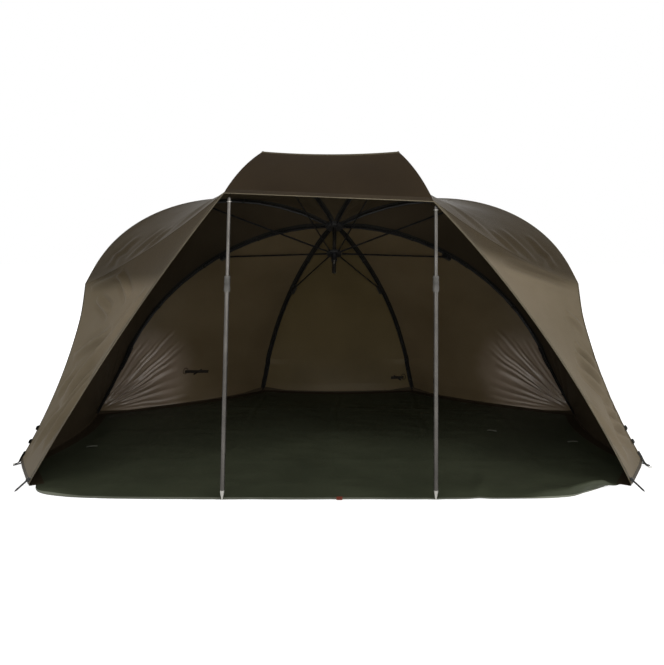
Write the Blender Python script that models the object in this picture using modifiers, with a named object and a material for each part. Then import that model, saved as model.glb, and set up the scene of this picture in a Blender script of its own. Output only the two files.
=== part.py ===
"""A shelter-style fishing umbrella: an oval canopy on eight ribs that fold about a tilted hub,
two telescopic storm poles under the visor, and a groundsheet.

Metres, +Z up, the open front towards -Y. The origin is on the ground, in the middle of the
footprint. Ribs are placed in the hub's own frame: an azimuth about the pole, counted from the
back, a reach out from the pole and a drop along it.
"""

import math

import bmesh
import bpy
from mathutils import Matrix, Vector

# Footprint on the ground, behind the plane of the storm poles
FLOOR_DEPTH = 1.780
HALF_WIDTH = 1.410
FRONT_CORNER_X = 0.895 * HALF_WIDTH
FRONT_CORNER_BACK = 0.135
FRONT_FOOT_BACK = 0.394
SIDE_FOOT_X = 0.9695 * HALF_WIDTH
SIDE_FOOT_BACK = 1.200
BACK_FOOT_X = 0.3468 * HALF_WIDTH
BACK_FOOT_BACK = 1.765
HEM_HEIGHT = 0.012
HEM_DRAW_IN = 0.035

# Hub, pole and runner
HUB_HEIGHT = 1.090
HUB_BACK = 0.950
POLE_TILT = math.radians(26.0)
PIVOT_RADIUS = 0.042
CROWN_RADIUS = 0.048
CROWN_TOP = 0.0072
CROWN_BOTTOM = 0.014
POLE_LENGTH = 0.270
POLE_RADIUS = 0.0105
POLE_BORE = 0.0078
RUNNER_DROP = 0.163
RUNNER_PIVOT_RADIUS = 0.034
RUNNER_RADIUS = 0.040
RUNNER_HALF = 0.008
RUNNER_SLEEVE_RADIUS = 0.0165
RUNNER_SLEEVE_LENGTH = 0.034
SPIGOT_RADIUS = 0.018
CLOTH_HOLE = 0.0212
CAP_RADIUS = 0.054
CAP_HEIGHT = 0.012
INSERT_LENGTH = 0.024
INSERT_BORE = 0.0052
CATCH_WIDTH = 0.0052
CATCH_LENGTH = 0.018
CATCH_PROUD = 0.0042
CATCH_BASE = 0.0046

# Ribs
RIB_RADIUS = 0.0062
LOWER_RIB_RADIUS = 0.0050
TONGUE_THICKNESS = 0.0050
EYE_RADIUS = 0.0052
EYE_BORE = 0.0023
PIN_RADIUS = 0.0018
TONGUE_LENGTH = 0.024
FRONT_REACH = 0.832
FRONT_DROP = 0.037
FRONT_SIDE_REACH = 1.170
FRONT_SIDE_DROP = 0.4312 * HUB_HEIGHT
BACK_SIDE_REACH = 1.280
BACK_SIDE_DROP = 0.4862 * HUB_HEIGHT
BACK_REACH = 1.170
BACK_DROP = 0.4128 * HUB_HEIGHT
TIP_REACH = 0.036
TIP_RADIUS = 0.0032
KNUCKLE_RADIUS = 0.0125
KNUCKLE_LENGTH = 0.052

# Stretchers and their blocks on the ribs
BLOCK_ALONG = 0.665
BLOCK_LENGTH = 0.056
BLOCK_HALF_WIDTH = 0.0086
BLOCK_RISE = 0.0076
BLOCK_FALL = 0.0270
BLOCK_PIN_FALL = 0.0190
BLOCK_EDGE = 0.0022
STRETCHER_OFFSET = 0.0108
STRETCHER_THICKNESS = 0.0030
STRETCHER_WIDTH = 0.0084
PIN_HEAD_RADIUS = 0.0040
PIN_HEAD = 0.0016

# Canopy
CLOTH = 0.0020
RIB_TO_CLOTH = 0.0070
SEAM_GAP = 0.0004
RIDGE_SAG = 0.012
VISOR_FLARE = 0.415
VISOR_FORWARD = 0.016
POST_HEIGHT_LEFT = 1.226
POST_HEIGHT_RIGHT = 1.192
WING_FOLD_DEPTH = 0.030
WALL_SAG = 0.020
ROOF_SAG = 0.022

# Groundsheet and pegs
SHEET = 0.0030
SHEET_INSET = 0.030
SHEET_FRONT_BACK = 0.0022
SHEET_FRONT_HALF = 0.430
PEG_RADIUS = 0.0040
PEG_LENGTH = 0.085
PEG_HEAD_RADIUS = 0.0085
PEG_HEAD_LENGTH = 0.016
PEG_OUT = (0.55, -0.84)
PEG_STANDOFF = 0.0112
PEG_REACH_SHARE = 0.60
PEG_POINT_SHARE = 0.40
PEG_HEAD_SHARE = 0.80

# Storm poles
POST_X = 0.427
POST_LEAN = 0.024
POST_RADIUS = 0.0093
POST_BORE = 0.0078
POST_UPPER_RADIUS = 0.0074
POST_COLLAR_HEIGHT = 0.843
COLLAR_LENGTH = 0.052
COLLAR_RADIUS = 0.0128
COLLAR_WAIST = 0.0114
POST_OVERLAP = 0.120
SPIKE_HEIGHT = 0.040
SPIKE_PLUG = 0.030
SPIKE_TIP_RADIUS = 0.0014
POST_CAP_DROP = 0.0155

# Clearances and merge distances
GAP = 0.0003
OVERRUN = 0.010
POINT_MERGE = 1e-6
SCREW_MERGE = 1e-5

# Shape shares: control points of each rib's arc, as shares of its reach at the knuckle
RIBS = {
    "front_centre": dict(azimuth=math.radians(160.3), reach=FRONT_REACH, drop=FRONT_DROP),
    "front_side": dict(azimuth=math.radians(107.0), reach=FRONT_SIDE_REACH, drop=FRONT_SIDE_DROP),
    "back_side": dict(azimuth=math.radians(66.0), reach=BACK_SIDE_REACH, drop=BACK_SIDE_DROP),
    "back": dict(azimuth=math.radians(22.4), reach=BACK_REACH, drop=BACK_DROP),
}
# How far each rib turns at the crown to fold, which the stretchers and the runner set together
FOLDS = {
    "front_centre": math.radians(61.4),
    "front_side": math.radians(64.8),
    "back_side": math.radians(58.7),
    "back": math.radians(53.6),
}
ARC_SHARES = {
    "front_centre": ((0.36, -0.072), (0.72, -0.060)),
    "front_side": ((0.47, -0.170), (0.94, 0.026)),
    "back_side": ((0.39, -0.070), (0.845, 0.078)),
    "back": ((0.385, 0.017), (0.81, 0.103)),
}
FEET = {
    "front_side": (HALF_WIDTH, FRONT_FOOT_BACK),
    "back_side": (SIDE_FOOT_X, SIDE_FOOT_BACK),
    "back": (BACK_FOOT_X, BACK_FOOT_BACK),
}
LOWER_BOW_SHARES = {"front_side": 0.10, "back_side": 0.02, "back": 0.02}
CREASE_LEAN = 0.68
INSIDE_SHARE = 0.30
RIM_REST_SHARE = 0.42
TIP_BEND_SHARE = 2.2
# Profiles as (place, size) shares: an eye's rounded end, and the clevis at a knuckle
EYE_SHARES = ((1.0, 0.30), (0.85, 0.62), (0.5, 0.88), (0.0, 1.0))
CHEEK_SHARES = ((-1.0, 0.42), (-0.72, 0.80), (0.0, 1.0), (1.6, 1.06), (3.2, 1.0))
CHEEK_HALF_SHARE = 0.66
CHEEK_WIDTH_SHARE = 0.64
SLEEVE_SHARE = 1.35
# The top cap's dome, as shares of its radius and height
DOME_SHARES = ((0.35, 0.93), (0.68, 0.66))
CAP_SHOULDER_SHARE = 0.92
CAP_RIM_SHARE = 0.12
# The pole collar's rings and grooves, from its top down, as shares of its length
COLLAR_SHARES = ((0.12, True), (0.30, False), (0.48, True), (0.66, False), (0.84, True))
COLLAR_SKIRT_SHARE = 0.20
CROWN_LID_SHARE = 0.15
RUNNER_EDGE_SHARE = 0.20
VISOR_BULGE = Vector((0.6, -0.2, 1))
STRETCHER_SIDE = {"front_centre": -1, "front_side": 1, "back_side": 1, "back": 1}
SIDES = {"left": -1, "right": 1}
RIB_STEPS = 12
KNUCKLE_ROW = RIB_STEPS + 1
LOWER_STEPS = 6
ROUND = 8
PIN_SIDES = 10

POST_Y = -FLOOR_DEPTH / 2
HUB = Vector((0, POST_Y + HUB_BACK, HUB_HEIGHT))
DOWN = Vector((0, -math.sin(POLE_TILT), -math.cos(POLE_TILT)))
BACK = Vector((0, math.cos(POLE_TILT), -math.sin(POLE_TILT)))
INSIDE = Vector((0, HUB.y, INSIDE_SHARE * HUB_HEIGHT))


# Scene and materials


def clear_scene():
    for obj in list(bpy.data.objects):
        bpy.data.objects.remove(obj, do_unlink=True)


def material(name, colour, roughness, metallic=0.0):
    made = bpy.data.materials.new(name)
    made.use_nodes = True
    shader = made.node_tree.nodes["Principled BSDF"]
    shader.inputs["Base Color"].default_value = (*colour, 1)
    shader.inputs["Roughness"].default_value = roughness
    shader.inputs["Metallic"].default_value = metallic
    made.diffuse_color = (*colour, 1)
    return made


def add_mesh(name, bm, look, collection, smooth=True):
    bm.normal_update()
    bmesh.ops.recalc_face_normals(bm, faces=bm.faces)
    if bm.calc_volume(signed=True) < 0:
        bmesh.ops.reverse_faces(bm, faces=bm.faces)
    mesh = bpy.data.meshes.new(name)
    bm.to_mesh(mesh)
    bm.free()
    if smooth:
        mesh.shade_smooth()
        mesh.set_sharp_from_angle(angle=math.radians(35))
    obj = bpy.data.objects.new(name, mesh)
    collection.objects.link(obj)
    if look:
        mesh.materials.append(look)
    return obj


def as_cutter(obj):
    obj.hide_render = True
    obj.display_type = "WIRE"
    return obj


def boolean(obj, cutter, operation="DIFFERENCE"):
    modifier = obj.modifiers.new(operation.title(), "BOOLEAN")
    modifier.operation = operation
    modifier.object = cutter
    modifier.solver = "EXACT"
    return obj


# Geometry of the frame


def frame_matrix(origin, z_axis, x_hint):
    """A matrix at origin whose Z runs along z_axis and whose X is near x_hint."""
    z = z_axis.normalized()
    x = (x_hint - x_hint.dot(z) * z).normalized()
    y = z.cross(x)
    return Matrix.Translation(origin) @ Matrix((x, y, z)).transposed().to_4x4()


def radial(azimuth, side):
    return Vector((side * math.sin(azimuth), 0, 0)) + math.cos(azimuth) * BACK


def lateral(azimuth, side):
    """Towards the front round the pole, square to a rib's plane."""
    return Vector((side * math.cos(azimuth), 0, 0)) - math.sin(azimuth) * BACK


def hub_point(azimuth, side, reach, drop, across=0.0):
    return HUB + reach * radial(azimuth, side) + drop * DOWN + across * lateral(azimuth, side)


def cubic(points, t):
    a, b, c, d = points
    s = 1 - t
    return s * s * s * a + 3 * s * s * t * b + 3 * s * t * t * c + t * t * t * d


def arc_controls(kind, side):
    rib = RIBS[kind]
    first, second = ARC_SHARES[kind]
    reach = rib["reach"]
    flat = [(PIVOT_RADIUS, 0), (first[0] * reach, first[1] * reach)]
    flat += [(second[0] * reach, second[1] * reach), (reach, rib["drop"])]
    return [hub_point(rib["azimuth"], side, r, w) for r, w in flat]


def upper_path(kind, side, steps=RIB_STEPS):
    """The upper rib's centreline, from its pivot at the crown to its knuckle or tip."""
    controls = arc_controls(kind, side)
    return [cubic(controls, i / steps) for i in range(steps + 1)]


def knuckle(kind, side):
    rib = RIBS[kind]
    return hub_point(rib["azimuth"], side, rib["reach"], rib["drop"])


def foot(kind, side):
    x, back = FEET[kind]
    return Vector((side * x, POST_Y + back, HEM_HEIGHT))


def lower_path(kind, side, steps=LOWER_STEPS):
    """The lower rib's centreline, from the knuckle to the hem."""
    start, end = knuckle(kind, side), foot(kind, side)
    bow = LOWER_BOW_SHARES[kind] * (end - start).length
    middle = start.lerp(end, 0.5) - Vector((side * bow, 0, 0))
    points = []
    for i in range(steps + 1):
        t = i / steps
        points.append((1 - t) * (1 - t) * start + 2 * t * (1 - t) * middle + t * t * end)
    return points


def tangent_at(path, i):
    before, after = path[max(i - 1, 0)], path[min(i + 1, len(path) - 1)]
    return (after - before).normalized()


def outward_at(path, i):
    along = tangent_at(path, i)
    away = path[i] - INSIDE
    return (away - away.dot(along) * along).normalized()


def along_path(path, distance):
    """The point at a distance along a path, and its direction there."""
    for a, b in zip(path, path[1:]):
        step = (b - a).length
        if distance <= step:
            return a.lerp(b, distance / step), (b - a).normalized()
        distance -= step
    return path[-1].copy(), (path[-1] - path[-2]).normalized()


def rib_axis(kind, side):
    """The crown pivot's axis: a positive turn folds the rib down towards the pole."""
    return radial(RIBS[kind]["azimuth"], side).cross(DOWN).normalized()


def knuckle_turn(kind, side):
    """The knuckle's axis and angle, which bring the folded lower rib in line with the pole."""
    goal = Matrix.Rotation(-FOLDS[kind], 3, rib_axis(kind, side)) @ DOWN
    start = (foot(kind, side) - knuckle(kind, side)).normalized()
    return start.cross(goal).normalized(), start.angle(goal)


# Solids


def tube_mesh(name, points, radius, look, collection, radii=None, sides=ROUND):
    """A round bar along points, as a curve made into a mesh with its caps welded."""
    data = bpy.data.curves.new(name, "CURVE")
    data.dimensions = "3D"
    data.bevel_depth = radius
    data.bevel_resolution = (sides - 4) // 2
    data.use_fill_caps = True
    spline = data.splines.new("POLY")
    spline.points.add(len(points) - 1)
    for i, place in enumerate(points):
        spline.points[i].co = (*place, 1)
        spline.points[i].radius = radii[i] / radius if radii else 1.0
    curve = bpy.data.objects.new(name + "_path", data)
    collection.objects.link(curve)
    graph = bpy.context.evaluated_depsgraph_get()
    mesh = bpy.data.meshes.new_from_object(curve.evaluated_get(graph))
    bm = bmesh.new()
    bm.from_mesh(mesh)
    bmesh.ops.remove_doubles(bm, verts=bm.verts, dist=POINT_MERGE)
    bpy.data.meshes.remove(mesh)
    bpy.data.objects.remove(curve, do_unlink=True)
    bpy.data.curves.remove(data)
    return add_mesh(name, bm, look, collection)


def turned(name, profile, matrix, look, collection, steps=20):
    """A turned solid about the matrix's Z, from (radius, height) points run down the outside."""
    mesh = bpy.data.meshes.new(name)
    points = [(r, 0, z) for r, z in profile]
    closed = profile[0][0] > 0 and profile[-1][0] > 0
    edges = [(i, i + 1) for i in range(len(points) - 1)]
    if closed:
        edges.append((len(points) - 1, 0))
    mesh.from_pydata(points, edges, [])
    obj = bpy.data.objects.new(name, mesh)
    obj.matrix_world = matrix
    collection.objects.link(obj)
    screw = obj.modifiers.new("Screw", "SCREW")
    screw.axis = "Z"
    screw.steps = screw.render_steps = steps
    screw.use_merge_vertices = True
    screw.merge_threshold = SCREW_MERGE
    screw.use_smooth_shade = True
    if look:
        mesh.materials.append(look)
    return obj


def baked(obj, collection, look=None):
    """The object's shape with its modifiers applied, in world space, in the same name."""
    bpy.context.view_layer.update()
    graph = bpy.context.evaluated_depsgraph_get()
    mesh = bpy.data.meshes.new_from_object(obj.evaluated_get(graph))
    mesh.transform(obj.matrix_world)
    name, looks = obj.name, look or (obj.data.materials[0] if obj.data.materials else None)
    bpy.data.objects.remove(obj, do_unlink=True)
    bm = bmesh.new()
    bm.from_mesh(mesh)
    bpy.data.meshes.remove(mesh)
    bmesh.ops.remove_doubles(bm, verts=bm.verts, dist=POINT_MERGE)
    return add_mesh(name, bm, looks, collection)


def box(name, low, high, matrix, collection, look=None, edge=0.0):
    bm = bmesh.new()
    bmesh.ops.create_cube(bm, size=1)
    for v in bm.verts:
        for k in range(3):
            v.co[k] = low[k] if v.co[k] < 0 else high[k]
    bm.transform(matrix)
    bm.normal_update()
    if edge:
        bmesh.ops.bevel(bm, geom=list(bm.edges), offset=edge, segments=1, affect="EDGES")
    return add_mesh(name, bm, look, collection)


def rod(name, start, end, radius, collection, look=None, sides=PIN_SIDES):
    axis = end - start
    bm = bmesh.new()
    bmesh.ops.create_cone(
        bm, cap_ends=True, segments=sides, radius1=radius, radius2=radius, depth=axis.length
    )
    hint = Vector((1, 0, 0)) if abs(axis.normalized().x) < 0.9 else Vector((0, 1, 0))
    bm.transform(frame_matrix(start.lerp(end, 0.5), axis, hint))
    return add_mesh(name, bm, look, collection)


def loft(name, rings, look, collection):
    """A skin through rings of as many points each, with a cap at each end."""
    bm = bmesh.new()
    rows = [[bm.verts.new(p) for p in ring] for ring in rings]
    for a, b in zip(rows, rows[1:]):
        for i in range(len(a)):
            j = (i + 1) % len(a)
            bm.faces.new((a[i], a[j], b[j], b[i]))
    bm.faces.new(list(reversed(rows[0])))
    bm.faces.new(rows[-1])
    return add_mesh(name, bm, look, collection)


def section(centre, along, across, half_across, half_high, squareness, count=ROUND):
    """A ring of points from round (squareness 2) to nearly square (8)."""
    high = along.cross(across).normalized()
    points = []
    for i in range(count):
        angle = math.tau * (i + 0.5) / count
        c, s = math.cos(angle), math.sin(angle)
        x = math.copysign(abs(c) ** (2 / squareness), c) * half_across
        y = math.copysign(abs(s) ** (2 / squareness), s) * half_high
        points.append(centre + x * across + y * high)
    return points


# Hub and runner


def slot(name, kind, side, reach, drop, across, width, deep, cutters):
    """The cutter for one slot of a boss, open at its rim, top and bottom."""
    azimuth = RIBS[kind]["azimuth"]
    matrix = frame_matrix(hub_point(azimuth, side, reach, drop, across), DOWN, radial(azimuth, side))
    half = width / 2 + GAP
    inner = -EYE_RADIUS - 3 * GAP
    return as_cutter(box(name, (inner, -half, -deep), (CROWN_RADIUS, half, deep), matrix, cutters))


def slot_pin(name, kind, side, reach, drop, width, cutters):
    azimuth = RIBS[kind]["azimuth"]
    place = hub_point(azimuth, side, reach, drop)
    reach_out = (width / 2 + GAP + PIN_RADIUS * 1.5) * lateral(azimuth, side)
    return as_cutter(rod(name, place - reach_out, place + reach_out, PIN_RADIUS, cutters))


def make_crown(looks, parts, cutters):
    spigot, top = SPIGOT_RADIUS, CLOTH + 2 * CROWN_TOP
    socket, lid, edge = POLE_RADIUS + GAP, -CROWN_LID_SHARE * CROWN_BOTTOM, CROWN_LID_SHARE * CROWN_BOTTOM
    profile = [(0, top), (spigot, top), (spigot, CROWN_TOP), (CROWN_RADIUS - edge, CROWN_TOP)]
    profile += [(CROWN_RADIUS, CROWN_TOP - edge), (CROWN_RADIUS, edge - CROWN_BOTTOM)]
    profile += [(CROWN_RADIUS - edge, -CROWN_BOTTOM), (socket, -CROWN_BOTTOM), (socket, lid), (0, lid)]
    matrix = frame_matrix(HUB, -DOWN, Vector((1, 0, 0)))
    crown = turned("hub_crown", profile, matrix, looks["moulding"], parts, steps=32)
    crown = baked(crown, parts)
    pins, width, deep = [], TONGUE_THICKNESS, CROWN_BOTTOM + OVERRUN
    for kind in RIBS:
        for word, side in SIDES.items():
            name = f"crown_{word}_{kind}"
            boolean(crown, slot(f"{name}_slot", kind, side, PIVOT_RADIUS, 0, 0, width, deep, cutters))
            pins.append(slot_pin(f"{name}_pin", kind, side, PIVOT_RADIUS, 0, width, cutters))
    for pin in pins:
        boolean(crown, pin, "UNION")
    under, rim = top + GAP, CAP_RIM_SHARE * CAP_HEIGHT
    dome = [(0, under + CAP_HEIGHT)]
    dome += [(out * CAP_RADIUS, under + up * CAP_HEIGHT) for out, up in DOME_SHARES]
    dome += [(CAP_SHOULDER_SHARE * CAP_RADIUS, under + rim * 2), (CAP_RADIUS, under + rim)]
    dome += [(CAP_RADIUS, under), (0, under)]
    turned("top_cap", dome, matrix, looks["moulding"], parts, steps=24)


def make_pole(looks, parts, cutters):
    matrix = frame_matrix(HUB, -DOWN, Vector((1, 0, 0)))
    top = -CROWN_LID_SHARE * CROWN_BOTTOM - GAP
    profile = [(POLE_BORE, top), (POLE_RADIUS, top), (POLE_RADIUS, -POLE_LENGTH), (POLE_BORE, -POLE_LENGTH)]
    pole = baked(turned("centre_pole", profile, matrix, looks["pole"], parts), parts)
    catch_drop = RUNNER_DROP + RUNNER_HALF + RUNNER_SLEEVE_LENGTH + 2 * GAP + CATCH_LENGTH / 2
    seat = frame_matrix(HUB + catch_drop * DOWN, DOWN, -BACK)
    half_w, half_l = CATCH_WIDTH / 2, CATCH_LENGTH / 2
    window = box(
        "catch_window",
        (0, -half_w - GAP, -half_l - GAP),
        (POLE_RADIUS + OVERRUN, half_w + GAP, half_l + GAP),
        seat,
        cutters,
    )
    boolean(pole, as_cutter(window))
    low, high = (CATCH_BASE / 2, -half_w, -half_l), (POLE_RADIUS + CATCH_PROUD, half_w, half_l)
    box("runner_catch", low, high, seat, parts, looks["pale_metal"], edge=CATCH_WIDTH * 0.15)
    flange, lip = -POLE_LENGTH - GAP, CATCH_WIDTH / 2
    ring = [(INSERT_BORE, flange + INSERT_LENGTH), (POLE_BORE - GAP, flange + INSERT_LENGTH)]
    ring += [(POLE_BORE - GAP, flange), (POLE_RADIUS, flange), (POLE_RADIUS, flange - lip)]
    ring += [(INSERT_BORE, flange - lip)]
    turned("pole_insert", ring, matrix, looks["pale_metal"], parts)


def runner_pivot_reach():
    return math.sqrt(RUNNER_PIVOT_RADIUS ** 2 - STRETCHER_OFFSET ** 2)


def make_runner(looks, parts, cutters):
    matrix = frame_matrix(HUB + RUNNER_DROP * DOWN, -DOWN, Vector((1, 0, 0)))
    bore, edge = POLE_RADIUS + GAP, RUNNER_EDGE_SHARE * RUNNER_HALF
    profile = [(bore, RUNNER_HALF), (RUNNER_RADIUS - edge, RUNNER_HALF), (RUNNER_RADIUS, RUNNER_HALF - edge)]
    profile += [(RUNNER_RADIUS, edge - RUNNER_HALF), (RUNNER_RADIUS - edge, -RUNNER_HALF)]
    waist = RUNNER_HALF + RUNNER_SLEEVE_LENGTH / 2
    profile += [(RUNNER_SLEEVE_RADIUS, -RUNNER_HALF), (RUNNER_SLEEVE_RADIUS - edge, -waist)]
    bottom = -RUNNER_HALF - RUNNER_SLEEVE_LENGTH
    profile += [(RUNNER_SLEEVE_RADIUS, edge + bottom), (RUNNER_SLEEVE_RADIUS, bottom), (bore, bottom)]
    runner = baked(turned("runner", profile, matrix, looks["moulding"], parts, steps=32), parts)
    reach, deep = runner_pivot_reach(), RUNNER_HALF + OVERRUN
    for kind in RIBS:
        across = STRETCHER_SIDE[kind] * STRETCHER_OFFSET
        for word, side in SIDES.items():
            args = (kind, side, reach, RUNNER_DROP, across, STRETCHER_THICKNESS, deep, cutters)
            boolean(runner, slot(f"runner_{word}_{kind}_slot", *args))


# Ribs, blocks and stretchers


def eye_rings(centre, along, across, end):
    """The rounded end of a flat tongue round its eye, from the very end to the eye's middle."""
    rings = []
    for back, high in EYE_SHARES:
        place = centre + end * back * EYE_RADIUS * along
        rings.append(section(place, along, across, TONGUE_THICKNESS / 2, high * EYE_RADIUS, 7))
    return rings


def tongue_direction(path, axis):
    along = tangent_at(path, len(path) - 1)
    return (along - along.dot(axis) * axis).normalized()


def knuckle_axis(kind, side):
    """The knuckle's axis, turned to lie near the direction across the rib."""
    axis, _ = knuckle_turn(kind, side)
    return axis if axis.dot(lateral(RIBS[kind]["azimuth"], side)) > 0 else -axis


def make_upper_rib(word, side, kind, looks, parts, cutters):
    path = upper_path(kind, side)
    across = lateral(RIBS[kind]["azimuth"], side)
    start = tangent_at(path, 0)
    rings = eye_rings(path[0], start, across, -1)
    place = path[0] + TONGUE_LENGTH * start
    rings.append(section(place, start, across, TONGUE_THICKNESS / 2, EYE_RADIUS, 7))
    clear = 2 * TONGUE_LENGTH
    middle = [
        i
        for i in range(1, len(path) - 1)
        if (path[i] - path[0]).length > clear and (path[i] - path[-1]).length > clear * 0.9
    ]
    for i in middle:
        rings.append(section(path[i], tangent_at(path, i), across, RIB_RADIUS, RIB_RADIUS, 2))
    holes = [(path[0], across)]
    if kind in FEET:
        axis = knuckle_axis(kind, side)
        end = tongue_direction(path, axis)
        place = path[-1] - TONGUE_LENGTH * end
        rings.append(section(place, end, axis, TONGUE_THICKNESS / 2, EYE_RADIUS, 7))
        rings += reversed(eye_rings(path[-1], end, axis, 1))
        holes.append((path[-1], axis))
    else:
        last = len(path) - 1
        end = tangent_at(path, last)
        rings.append(section(path[last], end, across, RIB_RADIUS, RIB_RADIUS, 2))
        nose = path[last] + RIB_RADIUS * end
        rings.append(section(nose, end, across, RIB_RADIUS * 0.6, RIB_RADIUS * 0.6, 2))
    rib = loft(f"{word}_{kind}_rib", rings, looks["rib"], parts)
    for n, (centre, axis) in enumerate(holes):
        reach = TONGUE_THICKNESS * axis
        drill = rod(f"{rib.name}_eye_{n}", centre - reach, centre + reach, EYE_BORE, cutters)
        boolean(rib, as_cutter(drill))


def make_lower_rib(word, side, kind, looks, parts, cutters):
    path = lower_path(kind, side)
    hinge = knuckle_axis(kind, side)
    start = tangent_at(path, 0)
    axis = (hinge - hinge.dot(start) * start).normalized()
    cheek, width = CHEEK_HALF_SHARE * KNUCKLE_RADIUS, CHEEK_WIDTH_SHARE * KNUCKLE_RADIUS
    rings = []
    for back, high in CHEEK_SHARES:
        place = path[0] + back * cheek * start
        rings.append(section(place, start, axis, width, cheek * high, 5))
    length = KNUCKLE_LENGTH
    collar = SLEEVE_SHARE * LOWER_RIB_RADIUS
    rings.append(section(path[0] + length * 0.92 * start, start, axis, collar, collar, 2.4))
    bare = LOWER_RIB_RADIUS
    rings.append(section(path[0] + length * start, start, axis, bare, bare, 2))
    for i in range(2, len(path)):
        rings.append(section(path[i], tangent_at(path, i), axis, bare, bare, 2))
    flat = Vector((path[-1].x - INSIDE.x, path[-1].y - INSIDE.y, 0)).normalized()
    bent = (tangent_at(path, len(path) - 1) + TIP_BEND_SHARE * flat).normalized()
    bend = path[-1] + bare * bent
    rings.append(section(bend, bent, axis, TIP_RADIUS, TIP_RADIUS, 2))
    tip = bend + TIP_REACH * flat
    tip.z = TIP_RADIUS + GAP
    last = (tip - bend).normalized()
    rings.append(section(tip, last, axis, TIP_RADIUS * 0.8, TIP_RADIUS * 0.8, 2))
    rib = loft(f"{word}_{kind}_lower_rib", rings, looks["rib"], parts)
    matrix = frame_matrix(path[0], hinge, start)
    half = TONGUE_THICKNESS / 2 + GAP
    low = (-KNUCKLE_RADIUS - OVERRUN, -KNUCKLE_RADIUS - OVERRUN, -half)
    high = (EYE_RADIUS + 4 * GAP, KNUCKLE_RADIUS + OVERRUN, half)
    boolean(rib, as_cutter(box(f"{rib.name}_slot", low, high, matrix, cutters)))
    reach = width * 0.97 * hinge
    pin = rod(f"{rib.name}_pin", path[0] - reach, path[0] + reach, PIN_RADIUS, cutters)
    boolean(rib, as_cutter(pin), "UNION")


def block_frame(kind, side):
    """The block's place on the rib: centre, along, across and inward."""
    path = upper_path(kind, side)
    centre, along = along_path(path, BLOCK_ALONG)
    across = lateral(RIBS[kind]["azimuth"], side)
    inward = along.cross(across).normalized()
    if inward.dot(DOWN) < 0:
        inward = -inward
    return centre, along, across, inward


def make_block(word, side, kind, looks, parts, cutters):
    centre, along, across, inward = block_frame(kind, side)
    matrix = Matrix.Translation(centre) @ Matrix((along, inward.cross(along), inward)).transposed().to_4x4()
    half = BLOCK_LENGTH / 2
    name = f"{word}_{kind}_block"
    low, high = (-half, -BLOCK_HALF_WIDTH, -BLOCK_RISE), (half, BLOCK_HALF_WIDTH, BLOCK_FALL)
    block = box(name, low, high, matrix, parts, looks["moulding"], edge=BLOCK_EDGE)
    path = upper_path(kind, side)
    near = [p for p in path if (p - centre).length < BLOCK_LENGTH * 3]
    snug = (RIB_RADIUS + GAP) / math.cos(math.pi / ROUND)
    tunnel = tube_mesh(f"{name}_tunnel", near, snug, None, cutters)
    boolean(block, as_cutter(tunnel))
    sign = STRETCHER_SIDE[kind]
    eye = centre + BLOCK_PIN_FALL * inward
    face = STRETCHER_OFFSET + STRETCHER_THICKNESS / 2 + GAP
    inner, outer = BLOCK_HALF_WIDTH - 4 * GAP, face + PIN_HEAD / 2
    pin = rod(
        f"{name}_pin", eye + sign * inner * across, eye + sign * outer * across, PIN_RADIUS, cutters
    )
    boolean(block, as_cutter(pin), "UNION")
    cap = rod(
        f"{name}_pin_head",
        eye + sign * face * across,
        eye + sign * (face + PIN_HEAD) * across,
        PIN_HEAD_RADIUS,
        cutters,
    )
    boolean(block, as_cutter(cap), "UNION")


def stretcher_ends(kind, side):
    """The stretcher's two pivots: on the runner and on the rib's block."""
    offset = STRETCHER_SIDE[kind] * STRETCHER_OFFSET
    azimuth = RIBS[kind]["azimuth"]
    inner = hub_point(azimuth, side, runner_pivot_reach(), RUNNER_DROP, offset)
    centre, _, across, inward = block_frame(kind, side)
    return inner, centre + BLOCK_PIN_FALL * inward + offset * across


def make_stretcher(word, side, kind, looks, parts):
    inner, outer = stretcher_ends(kind, side)
    along = (outer - inner).normalized()
    length, half = (outer - inner).length, STRETCHER_WIDTH / 2
    name = f"{word}_{kind}_stretcher"
    data = bpy.data.curves.new(name, "CURVE")
    data.dimensions = "2D"
    data.fill_mode = "BOTH"
    data.extrude = STRETCHER_THICKNESS / 2
    turns = [math.pi / 2 + math.pi * i / 6 for i in range(7)]
    ends = [(half * math.cos(a), half * math.sin(a)) for a in turns]
    ends += [(length - half * math.cos(a), -half * math.sin(a)) for a in turns]
    eye = [math.tau * i / ROUND for i in range(ROUND)]
    loops = [ends]
    loops.append([(length + EYE_BORE * math.cos(a), EYE_BORE * math.sin(a)) for a in eye])
    for loop in loops:
        spline = data.splines.new("POLY")
        spline.points.add(len(loop) - 1)
        for point, (x, y) in zip(spline.points, loop):
            point.co = (x, y, 0, 1)
        spline.use_cyclic_u = True
    curve = bpy.data.objects.new(name, data)
    curve.matrix_world = frame_matrix(inner, lateral(RIBS[kind]["azimuth"], side), along)
    parts.objects.link(curve)
    baked(curve, parts, looks["rib"])


# Canopy


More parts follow.
